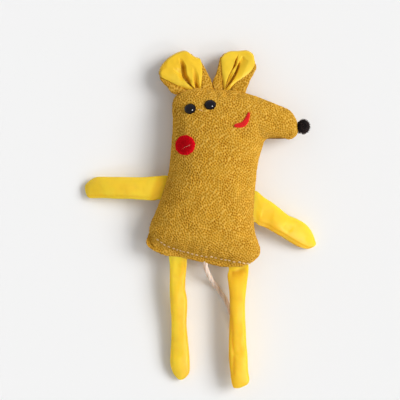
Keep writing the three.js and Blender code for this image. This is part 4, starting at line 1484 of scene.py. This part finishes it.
LIMBS = {
    "left_arm": {
        "length": 41, "width": 12, "thickness": 7.4, "lean": 19.5, "root": 1.1, "crown": 0.7,
        "rows": [
            (-0.566, 0.115, 0.496, 0.035, 0.4), (-0.529, 0.232, 0.484, 0.16, 0.68),
            (-0.473, 0.388, 0.486, 0.336, 0.93), (-0.429, 0.596, 0.525, 0.569, 1),
            (-0.377, 0.764, 0.564, 0.764, 0.97), (-0.368, 0.881, 0.542, 0.862, 0.82),
            (-0.343, 0.953, 0.378, 0.954, 0.6), (-0.168, 0.993, 0.175, 1.01, 0.3),
        ],
        "seam": math.pi, "seam_inset": 1.1, "seam_depth": 0.34, "seam_shade": 0.15,
        "tone": (0.0, 0.0, 0.0), "root_shadow": 0.3,
        "folds": [
            ([(-3.5, 8.0), (-6.5, 12.5)], 0.22, 3.0, 2.6, 0.0),
            ([(-7.0, 16.0), (-11.5, 22.5)], 0.22, 2.8, 3.4, 0.04),
            ([(-9.0, 29.5), (-14.0, 34.5)], 0.22, 3.2, 3.0, 0.04),
        ],
    },
    "right_arm": {
        "length": 37.2, "width": 14, "thickness": 7.4, "lean": -27.8, "root": 1.17, "crown": 0.7,
        "rows": [
            (-0.452, 0.007, 0.551, 0.146, 0.42), (-0.443, 0.149, 0.503, 0.252, 0.68),
            (-0.399, 0.319, 0.486, 0.374, 0.93), (-0.351, 0.465, 0.477, 0.507, 1),
            (-0.406, 0.602, 0.48, 0.651, 1), (-0.396, 0.755, 0.463, 0.804, 0.88),
            (-0.244, 0.901, 0.392, 0.918, 0.62), (0.083, 1.042, 0.266, 0.983, 0.3),
        ],
        "seam": 0.0, "seam_inset": 1.2, "seam_depth": 0.42, "seam_shade": 0.3,
        "tone": (0.0, 0.06, 0.3), "root_shadow": 0.1,
        "folds": [
            ([(3.0, 2.0), (5.0, 8.5)], 0.3, 2.2, 2.2, 0.0),
            ([(8.0, 14.5), (11.5, 19.0)], 0.35, 1.8, 2.4, 0.05),
            ([(13.5, 28.5), (17.5, 32.0)], 0.4, 1.8, 2.0, 0.05),
        ],
    },
    "left_leg": {
        "length": 63.2, "width": 9, "thickness": 7, "lean": 9.7, "root": 1.05, "crown": 0.42,
        "rows": [
            (-0.516, 0.05, 0.471, 0.035, 0.42), (-0.463, 0.116, 0.476, 0.106, 0.74),
            (-0.403, 0.242, 0.505, 0.24, 0.98), (-0.506, 0.351, 0.496, 0.35, 1),
            (-0.444, 0.552, 0.455, 0.551, 0.96), (-0.53, 0.737, 0.52, 0.735, 1),
            (-0.577, 0.863, 0.569, 0.864, 0.94), (-0.54, 0.948, 0.402, 0.952, 0.68),
            (-0.231, 1.001, 0.037, 1.016, 0.3),
        ],
        "seam": 0.0, "seam_inset": 0.9, "seam_depth": 0.12, "seam_shade": 0.0,
        "tone": (0.34, 0.0, 0.0), "root_shadow": 0.0,
        "folds": [
            ([(-2.5, 3.0), (1.5, 9.5)], 0.25, 2.4, 2.0, 0.0),
            ([(-6.0, 20.0), (-3.5, 22.5)], 0.12, 1.6, 1.6, 0.0),
            ([(-9.0, 50.0), (-4.5, 46.0)], 0.3, 2.8, 2.2, 0.04),
        ],
    },
    "right_leg": {
        "length": 62.4, "width": 9, "thickness": 7, "lean": -7.4, "root": 1.17, "crown": 0.42,
        "rows": [
            (-0.531, 0.045, 0.671, 0.055, 0.42), (-0.449, 0.126, 0.625, 0.132, 0.74),
            (-0.331, 0.269, 0.576, 0.266, 0.98), (-0.318, 0.394, 0.594, 0.392, 0.98),
            (-0.345, 0.604, 0.677, 0.601, 1), (-0.402, 0.73, 0.703, 0.727, 1),
            (-0.424, 0.856, 0.637, 0.853, 0.94), (-0.471, 0.938, 0.575, 0.949, 0.68),
            (-0.27, 0.984, 0.442, 1.013, 0.3),
        ],
        "seam": 0.0, "seam_inset": 1.7, "seam_depth": 0.0, "seam_shade": 0.0,
        "tone": (0.18, 0.06, 0.34), "root_shadow": 0.2,
        "folds": [
            ([(-4.2, 0.2), (-2.3, 0.7), (0.1, 1.2), (2.9, 1.6), (5.4, 1.6)], 0.6, 2.6, 1.4, 0.5),
            ([(7.4, 21.5), (8.9, 30.7), (9.6, 37.5), (9.9, 43.9), (11.0, 50.1), (12.0, 57.2)],
             0.55, 0.9, 0.5, 0.34),
            ([(9.3, 44.3), (7.5, 42.7), (4.7, 42.3)], 0.35, 2.0, 2.2, 0.1),
        ],
    },
}

# Thickness of a limb's root, how far it reaches into the trunk's seam and how thin it is there,
# and how far before the hinge its full root starts
LIMB_ROOT_DEPTH = 1.5
LIMB_ROOT_REACH = 2.4
LIMB_ROOT_THIN = 0.6
LIMB_ROOT_START = 0.4
# The gathers at the root: their number round the limb, place and spread along it, and depth
LIMB_GATHERS = (7, 0.08, 0.05, 0.15)
# Length of a stitch of the limb's seam, how much each one pulls, and in radians round the limb
# the groove's width, with the height, place and width of the ridge beside it
SEAM_STITCH = 2.6
SEAM_PULL = 0.25
SEAM_WIDTH = 0.1
SEAM_RIDGE = (0.45, -0.26, 0.16)
# The wadding's lumps and its finer grain: their size, their height at the limb's sides and how
# much higher they are on its top
WADDING_LUMPS = (8.0, 0.1, 0.32)
WADDING_GRAIN = (3.4, 0.0, 0.1)


class MOUSETOY_OT_limbs(bpy.types.Operator):
    """Sews the satin arms and legs, with their seams and creases, into the trunk's seam"""

    bl_idname = "mouse_toy.limbs"
    bl_label = "Arms and legs"

    def execute(self, context):
        for name, limb in LIMBS.items():
            self.sew(name, limb)
        return {"FINISHED"}

    def sections(self, limb):
        """Rows of low edge, high edge and half thickness in the hinge's frame"""
        half = limb["root"] * limb["width"] / 2
        rows = [
            (-half, -LIMB_ROOT_REACH, half, -LIMB_ROOT_REACH, LIMB_ROOT_THIN * LIMB_ROOT_DEPTH / 2),
            (-half, -LIMB_ROOT_START, half, -LIMB_ROOT_START, LIMB_ROOT_DEPTH / 2),
        ]
        lean = math.radians(limb["lean"])
        c, s = math.cos(lean), math.sin(lean)
        for low_x, low_y, high_x, high_y, depth in limb["rows"]:
            row = []
            for x, y in ((low_x, low_y), (high_x, high_y)):
                x, y = x * limb["width"], y * limb["length"]
                row += [c * x - s * y, s * x + c * y]
            rows.append((*row, depth * limb["thickness"] / 2))
        return rows

    def sew(self, name, limb):
        hinge = hinge_frame(f"{name}_fold", fill=f"{name}_fill")
        rows = self.sections(limb)
        steps, sides = 84, 40
        line = through(rows, np.linspace(0, 1, steps + 1))
        piece = tube_blank(f"{name}_satin", sides, steps)
        angles, shares, at = tube_places(piece, steps)
        low, high, depth = line[at, 0:2], line[at, 2:4], line[at, 4]
        closing = np.sqrt(np.clip(1 - smoothstep(0.985, 1.0, shares) * 0.98, 0.02, 1))
        middle, reach = (low + high) / 2, (high - low) / 2 * closing[:, None]
        flat = middle + reach * np.cos(angles)[:, None]
        rise = depth * closing * np.sign(np.sin(angles)) * np.abs(np.sin(angles)) ** limb["crown"]
        local = np.column_stack([flat, rise])
        local, shade_paint = self.wrinkle(local, angles, shares, limb)
        put_points(piece, from_hinge(hinge, local))
        keep_values(piece, "painted_shade", shade_paint)
        apply_modifier(piece, "SUBSURF", levels=1, render_levels=1)
        dress(piece, "stuffed_satin")
        self.keep_off_floor(piece)
        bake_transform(piece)
        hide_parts(f"{name}_cover", f"{name}_fill")

    def wrinkle(self, local, angles, shares, limb):
        """Soft lumps of wadding, gathers at the root, the folds, and the seam beside one edge, with
        the painted shade of the sides, the seam, the root and the folds
        """
        lean = math.radians(limb["lean"])
        outward = np.column_stack([
            np.cos(angles) * math.cos(lean), np.cos(angles) * math.sin(lean), np.sin(angles),
        ])
        seed = limb["length"]
        rise = np.abs(np.sin(angles))
        full = smoothstep(0.06, 0.2, shares) * (1 - smoothstep(0.97, 1.0, shares))
        stuffing = 0
        for shift, (size, side, top) in ((0, WADDING_LUMPS), (4, WADDING_GRAIN)):
            stuffing = stuffing + lumps(local, size, seed + shift) * (side + top * rise)
        count, place, spread, deep = LIMB_GATHERS
        gathers = np.sin(angles * count + seed) * bell(shares, place, spread) * deep
        inset = math.acos(1 - 2 * limb["seam_inset"] / limb["width"])
        from_edge = np.abs((angles - limb["seam"] + math.pi) % (2 * math.pi) - math.pi)
        line = np.where(np.sin(angles) > 0, from_edge - inset, np.inf)
        ridge, place, width = SEAM_RIDGE
        stitched = bell(line, 0, SEAM_WIDTH)
        groove = stitched - ridge * bell(line, place, width)
        pull = 1 + SEAM_PULL * np.sin(shares * limb["length"] * 2 * math.pi / SEAM_STITCH)
        offset = stuffing * full + gathers - limb["seam_depth"] * groove * full * pull
        # Painted shade: darker on the edges that turn from the light, along the seam, by the trunk
        # at the root and in each fold
        shade_paint = np.interp(np.cos(angles), (-1, 0, 1), limb["tone"])
        shade_paint = np.maximum(shade_paint, limb["seam_shade"] * stitched * full)
        shade_paint = np.maximum(shade_paint, limb["root_shadow"] * (1 - smoothstep(2.5, 5.0, local[:, 1])))
        top = smoothstep(0.05, 0.5, np.sin(angles))
        for route, depth, left, right, tone in limb["folds"]:
            fold = crease(local[:, :2], route, left, right, opening=0.15, closing=0.15)
            offset -= depth * fold * top
            shade_paint = np.maximum(shade_paint, tone * fold * top)
        return local + outward * offset[:, None], shade_paint

    def keep_off_floor(self, piece):
        points = points_of(piece)
        points[:, 2] = np.maximum(points[:, 2], 0.03 * MM)
        put_points(piece, points)


# Ears. The rim's places are shares of the ear's width and height from the middle of its hinge,
# clockwise, and the lining takes up the rim between two shares of its length. Nudges move the
# terry, and the edge is the line where its fold ends, which gets painted shade in the loops. The
# root gives the lining's two ends at the hinge as shares of the width, the bow how far its sides
# swing out, and the tone how much painted shade the lining has all over.
# Folds are lines in the hinge's frame, from the rim's side on, with a depth, how dark the painted
# shade in the hollow is, the widths of the slope on the left and of the steep side on the right,
# the share over which the fold opens, how far the cloth laps over from the steep side, and the
# shares between which the fold draws shut.

STAYS_OPEN = (2, 3)
EARS = {
    "left_ear": {
        "width": 29.2, "height": 18.9,
        "rim": [
            (-0.402, -0.1), (-0.533, -0.045), (-0.617, 0.076), (-0.682, 0.222), (-0.718, 0.408),
            (-0.667, 0.596), (-0.571, 0.757), (-0.459, 0.884), (-0.33, 0.977), (-0.222, 1),
            (-0.145, 0.925), (-0.069, 0.828), (0.027, 0.762), (0.057, 0.638), (0.096, 0.494),
            (0.159, 0.278), (0.208, 0.09),
        ],
        "nudges": [
            (-18.5, -1.0, 0.0, 0.3, 3.5), (-8.6, -1.2, 1.2, 0.3, 2.4), (-16.4, -2.2, 1.3, 0.2, 2.2),
        ],
        "edge": [
            (-20.3, 5.8), (-18.6, 4.7), (-16.2, 3.5), (-13.0, 1.5), (-10.5, 0.1), (-8.2, -1.0),
            (-5.0, -2.3),
        ],
        "root": (-0.165, 0.045), "lining": (0.21, 0.79), "bow": (0.0, 0.4), "tone": 0.12,
        "folds": [
            ([(-9.9, 15.3), (-9.3, 12.0), (-9.0, 9.6), (-8.8, 6.3), (-8.3, 4.2), (-7.4, 2.7),
              (-5.8, 0.8), (-4.0, -0.9), (-3.1, -1.9), (-2.9, -2.8)],
             3.0, 0.95, 2.6, 0.5, 0.3, 0.3, (0.62, 0.92)),
            ([(-9.9, 13.0), (-9.2, 9.6), (-9.0, 6.3), (-8.6, 4.2)],
             0.5, 0.35, 0.5, 2.2, 0.5, 0.0, STAYS_OPEN),
            ([(-2.6, 10.4), (-2.6, 7.6), (-2.5, 5.2), (-2.5, 2.8), (-2.4, 1.2), (-2.1, -1.3),
              (-2.0, -2.8)],
             1.5, 0.62, 2.6, 0.7, 0.6, 0.1, STAYS_OPEN),
            ([(-2.5, 3.0), (-2.3, 0.9), (-1.9, -1.3), (-1.8, -2.8)],
             1.4, 1.0, 1.3, 0.35, 0.6, 0.1, STAYS_OPEN),
            ([(-13.5, 9.8), (-11.7, 7.8), (-9.9, 5.6), (-7.9, 3.7), (-6.3, 1.8)],
             0.9, 0.22, 2.6, 0.7, 0.4, 0.0, STAYS_OPEN),
            ([(-15.7, 14.3), (-17.3, 12.1), (-18.3, 10.0), (-19.4, 8.2)],
             0.35, 0.42, 1.9, 1.5, 0.4, 0.0, (0.6, 1.0)),
        ],
    },
    "right_ear": {
        "width": 21.9, "height": 19.9,
        "rim": [
            (-0.352, 0.034), (-0.345, 0.256), (-0.325, 0.487), (-0.307, 0.716), (-0.231, 0.845),
            (-0.108, 0.937), (0.103, 0.972), (0.304, 1), (0.455, 0.911), (0.506, 0.751),
            (0.57, 0.546), (0.546, 0.372), (0.459, 0.226), (0.398, 0.059),
        ],
        "nudges": [(-8.0, 0.5, -1.4, 0.0, 4.5), (11.9, 6.9, -0.9, 0.0, 3.5)],
        "edge": [(-5.8, 15.0), (-5.9, 12.4), (-5.5, 9.5), (-4.7, 5.1), (-4.1, 1.4), (-3.4, -1.9)],
        "root": (-0.155, -0.06), "lining": (0.28, 0.735), "bow": (0.0, 2.1), "tone": 0.0,
        "folds": [
            ([(2.4, 17.5), (1.8, 15.4), (1.2, 13.3), (0.7, 11.0), (0.2, 8.9), (-0.6, 6.7),
              (-1.3, 4.7), (-1.9, 2.7), (-2.4, 0.7), (-2.7, -1.4), (-2.7, -3.0)],
             2.2, 0.65, 1.15, 0.35, 0.25, 0.2, (0.3, 0.5)),
            ([(0.1, 8.9), (-0.8, 6.5), (-1.5, 4.3), (-2.0, 2.1), (-2.5, 0.0), (-2.7, -1.4),
              (-2.7, -3.0)],
             1.0, 0.5, 2.6, 0.3, 0.4, 0.0, STAYS_OPEN),
            ([(3.8, 14.1), (3.0, 11.8), (2.5, 10.3), (2.1, 8.8), (1.6, 7.2), (1.0, 5.7),
              (0.3, 4.1), (-0.4, 2.6), (-1.4, 1.0), (-2.3, -1.1), (-2.5, -3.0)],
             2.8, 1.0, 1.3, 0.4, 0.25, 0.2, (0.7, 0.95)),
            ([(4.8, 16.5), (3.2, 11.8), (2.2, 8.8), (1.1, 5.7), (-0.4, 2.6), (-2.2, -0.8)],
             0.9, 0.22, 4.2, 0.4, 0.1, 0.0, (0.5, 1.0)),
        ],
    },
}

EAR_DROOP = 10.0
# Thickness of the terry's cloth
TERRY_PLY = 1.2
# Half of an ear's thickness, and how far its root is drawn down into the seam
EAR_HALF = 1.7
EAR_ROOT_DROP = 2.1
# Height of the lining over the terry in its middle and at its sides, and how far its rim cups
EAR_CROWN = 3.0
EAR_SIDE = 1.9
EAR_CUP = 1.6
# The terry's puff and the noise in it, as height, lump size and seed
EAR_PUFF = 0.16
PUFF_WANDER = [(0.16, 3.4, 2.2)]
# Darkness and half width of the painted shade along the edge of the terry's fold
EAR_EDGE_SHADE = (0.6, 0.6)
LINING_THICKNESS = 0.3
# Shares of the way from the root to the rim between which the lining turns down at its edge
LINING_TURN = (0.93, 1.0)


class MOUSETOY_OT_ears(bpy.types.Operator):
    """Sews the ears: terry folded over at the corners, with a gathered satin lining"""

    bl_idname = "mouse_toy.ears"
    bl_label = "Ears"

    def execute(self, context):
        for name, ear in EARS.items():
            hinge = hinge_frame(f"{name}_fold", droop=math.radians(EAR_DROOP))
            outer = self.outer(name, ear, hinge)
            lining = self.lining(name, ear, hinge)
            for piece in (outer, lining):
                self.sew_on(piece, name, hinge)
        return {"FINISHED"}

    def sew_on(self, piece, name, hinge):
        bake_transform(piece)

    def outer(self, name, ear, hinge):
        """Terry with soft edges, its root drawn down into the head's seam"""
        piece = copy_of(f"{name}_outer", f"{name}_terry")
        apply_modifier(piece, "REMESH", mode="VOXEL", voxel_size=0.42 * MM)
        apply_modifier(piece, "SMOOTH", factor=0.5, iterations=6)
        points, normals = points_of(piece), normals_of(piece)
        puff = EAR_PUFF + unevenness(points, PUFF_WANDER)
        points += normals * (puff * MM)[:, None]
        local = nudged(to_hinge(hinge, points), ear["nudges"])
        local[:, 1] -= EAR_ROOT_DROP * smoothstep(0.9, -0.8, local[:, 1])
        put_points(piece, from_hinge(hinge, local))
        # Painted shade in the loops along the edge where the terry's fold ends beside the lining
        _, away, _ = along_line(local[:, :2], ear["edge"])
        facing = smoothstep(0.1, 0.4, normals @ np.array(hinge[3]))
        dark, width = EAR_EDGE_SHADE
        raise_loops(piece, dark * bell(away, 0, width) * facing, firm=1.05)
        dress(piece, "terry")
        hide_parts(f"{name}_outer")
        return piece

    def lining(self, name, ear, hinge):
        """A sheet that fans out from the gathered root to the rim, with its folds"""
        piece = primitive(
            bpy.ops.mesh.primitive_grid_add, f"{name}_satin",
            x_subdivisions=160, y_subdivisions=72, size=2,
        )
        across, along = ((points_of(piece)[:, :2] + 1) / 2).T
        flat = self.fan(ear, across, along)
        flat, height, shade_paint = self.pleats(ear, flat, across, along)
        turned = smoothstep(*LINING_TURN, along)
        cup = EAR_CUP * np.clip(flat[:, 1] / ear["height"], 0, 1)
        cup *= (2 * flat[:, 0] / ear["width"]) ** 2
        level = -EAR_HALF + TERRY_PLY + LINING_THICKNESS
        z = level + cup + height * (1 - turned) + turned * 0.9 - 1.5 * turned ** 4
        put_points(piece, from_hinge(hinge, np.column_stack([flat, z])))
        keep_values(piece, "painted_shade", shade_paint)
        apply_modifier(piece, "SMOOTH", factor=0.5, iterations=1)
        apply_modifier(piece, "SOLIDIFY", thickness=LINING_THICKNESS * MM, offset=-1)
        dress(piece, "satin")
        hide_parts(f"{name}_lining")
        return piece

    def fan(self, ear, across, along):
        """The lining's places in the plan: straight lines from the root to just past the rim"""
        size = np.array([ear["width"], ear["height"]])
        first, last = ear["lining"]
        rim = through(np.array(ear["rim"]) * size, first + (last - first) * across)
        left, right = ear["root"]
        drop = -EAR_HALF * 0.65 - EAR_ROOT_DROP
        root = np.column_stack([
            (left + (right - left) * across) * size[0], np.full(len(across), drop),
        ])
        flat = root + (rim - root) * along[:, None]
        over = 0.25 - 0.8 * (1 - across[:, None]) ** 6
        flat += (rim / np.linalg.norm(rim, axis=1)[:, None]) * over * along[:, None] ** 8
        left, right = ear["bow"]
        flat[:, 0] += np.sin(math.pi * along ** 1.8) * (
            right * across ** 4 - left * (1 - across) ** 4
        )
        return flat

    def pleats(self, ear, flat, across, along):
        """Raises the lining over its terry and lays its folds, which lap over their steep sides,
        with painted shade over the lining and in the folds
        """
        rise = smoothstep(0, 0.28, along) * (1 - 0.5 * smoothstep(0.62, 1.0, along))
        inside = 1 - np.exp(-np.minimum(across, 1 - across) / 0.1)
        low = (1 - inside) * (1 - smoothstep(0.15, 0.5, along))
        height = EAR_SIDE * (1 - 0.8 * low) + (EAR_CROWN - EAR_SIDE) * inside * rise
        height += 0.14 * lumps(np.column_stack([flat, height]), 2.6, 8.8) * inside
        # Painted shade: the ear's tone all over, and soft patches of it
        shading = 0.14 * lumps(np.column_stack([flat, height]), 5.0, 3.1)
        shade_paint = np.clip(ear["tone"] + shading, 0, 1)
        moved = np.zeros_like(flat)
        for line, depth, tone, slope, cliff, opening, lap, shut in ear["folds"]:
            share, away, tangent = along_line(flat, line)
            fade = smoothstep(0, opening, share)
            wide = slope * (0.4 + 0.6 * fade) * (1 - 0.85 * smoothstep(*shut, share))
            gone = np.where(away > 0, away / wide, -away / cliff)
            fold = np.clip(1.35 - 1.35 * gone, 0, 1) * fade
            height -= depth * fold
            # Painted shade in the fold's hollow, fading out where the fold draws shut
            dark = tone * (1 - 0.8 * smoothstep(shut[1], shut[1] + 0.1, share))
            shade_paint = np.maximum(shade_paint, fold ** 0.8 * dark)
            lip = lap * bell(away, -0.6, 0.5) * fade * (away < 1)
            left = np.column_stack([-tangent[:, 1], tangent[:, 0]])
            moved += left / np.linalg.norm(left, axis=1)[:, None] * lip[:, None]
        height = np.maximum(height, 0)
        moved *= smoothstep(0.1, 0.7, height)[:, None]
        turned = smoothstep(*LINING_TURN, along)
        return flat + moved * (1 - turned)[:, None], height, shade_paint


# Panel and registration

OPERATORS = (
    MOUSETOY_OT_stage,
    MOUSETOY_OT_tail,
    MOUSETOY_OT_trunk,
    MOUSETOY_OT_hem_stitches,
    MOUSETOY_OT_face,
    MOUSETOY_OT_limbs,
    MOUSETOY_OT_ears,
)


class MOUSETOY_PT_panel(bpy.types.Panel):
    """Lists the toy's settings and its steps in order"""

    bl_idname = "MOUSETOY_PT_panel"
    bl_label = "Mouse Toy"
    bl_space_type = "VIEW_3D"
    bl_region_type = "UI"
    bl_category = "Mouse Toy"

    def draw(self, context):
        for name in MouseToySettings.__annotations__:
            self.layout.prop(context.scene.mouse_toy, name)
        for operator in OPERATORS:
            self.layout.operator(operator.bl_idname)


CLASSES = (MouseToySettings, *OPERATORS, MOUSETOY_PT_panel)


def register():
    for kind in CLASSES:
        bpy.utils.register_class(kind)
    bpy.types.Scene.mouse_toy = PointerProperty(type=MouseToySettings)


def unregister():
    del bpy.types.Scene.mouse_toy
    for kind in reversed(CLASSES):
        bpy.utils.unregister_class(kind)


def main():
    register()
    bpy.ops.mouse_toy.stage()
    bpy.ops.mouse_toy.tail()
    bpy.ops.mouse_toy.trunk()
    bpy.ops.mouse_toy.hem_stitches()
    bpy.ops.mouse_toy.face()
    bpy.ops.mouse_toy.limbs()
    bpy.ops.mouse_toy.ears()


if __name__ == "__main__":
    main()
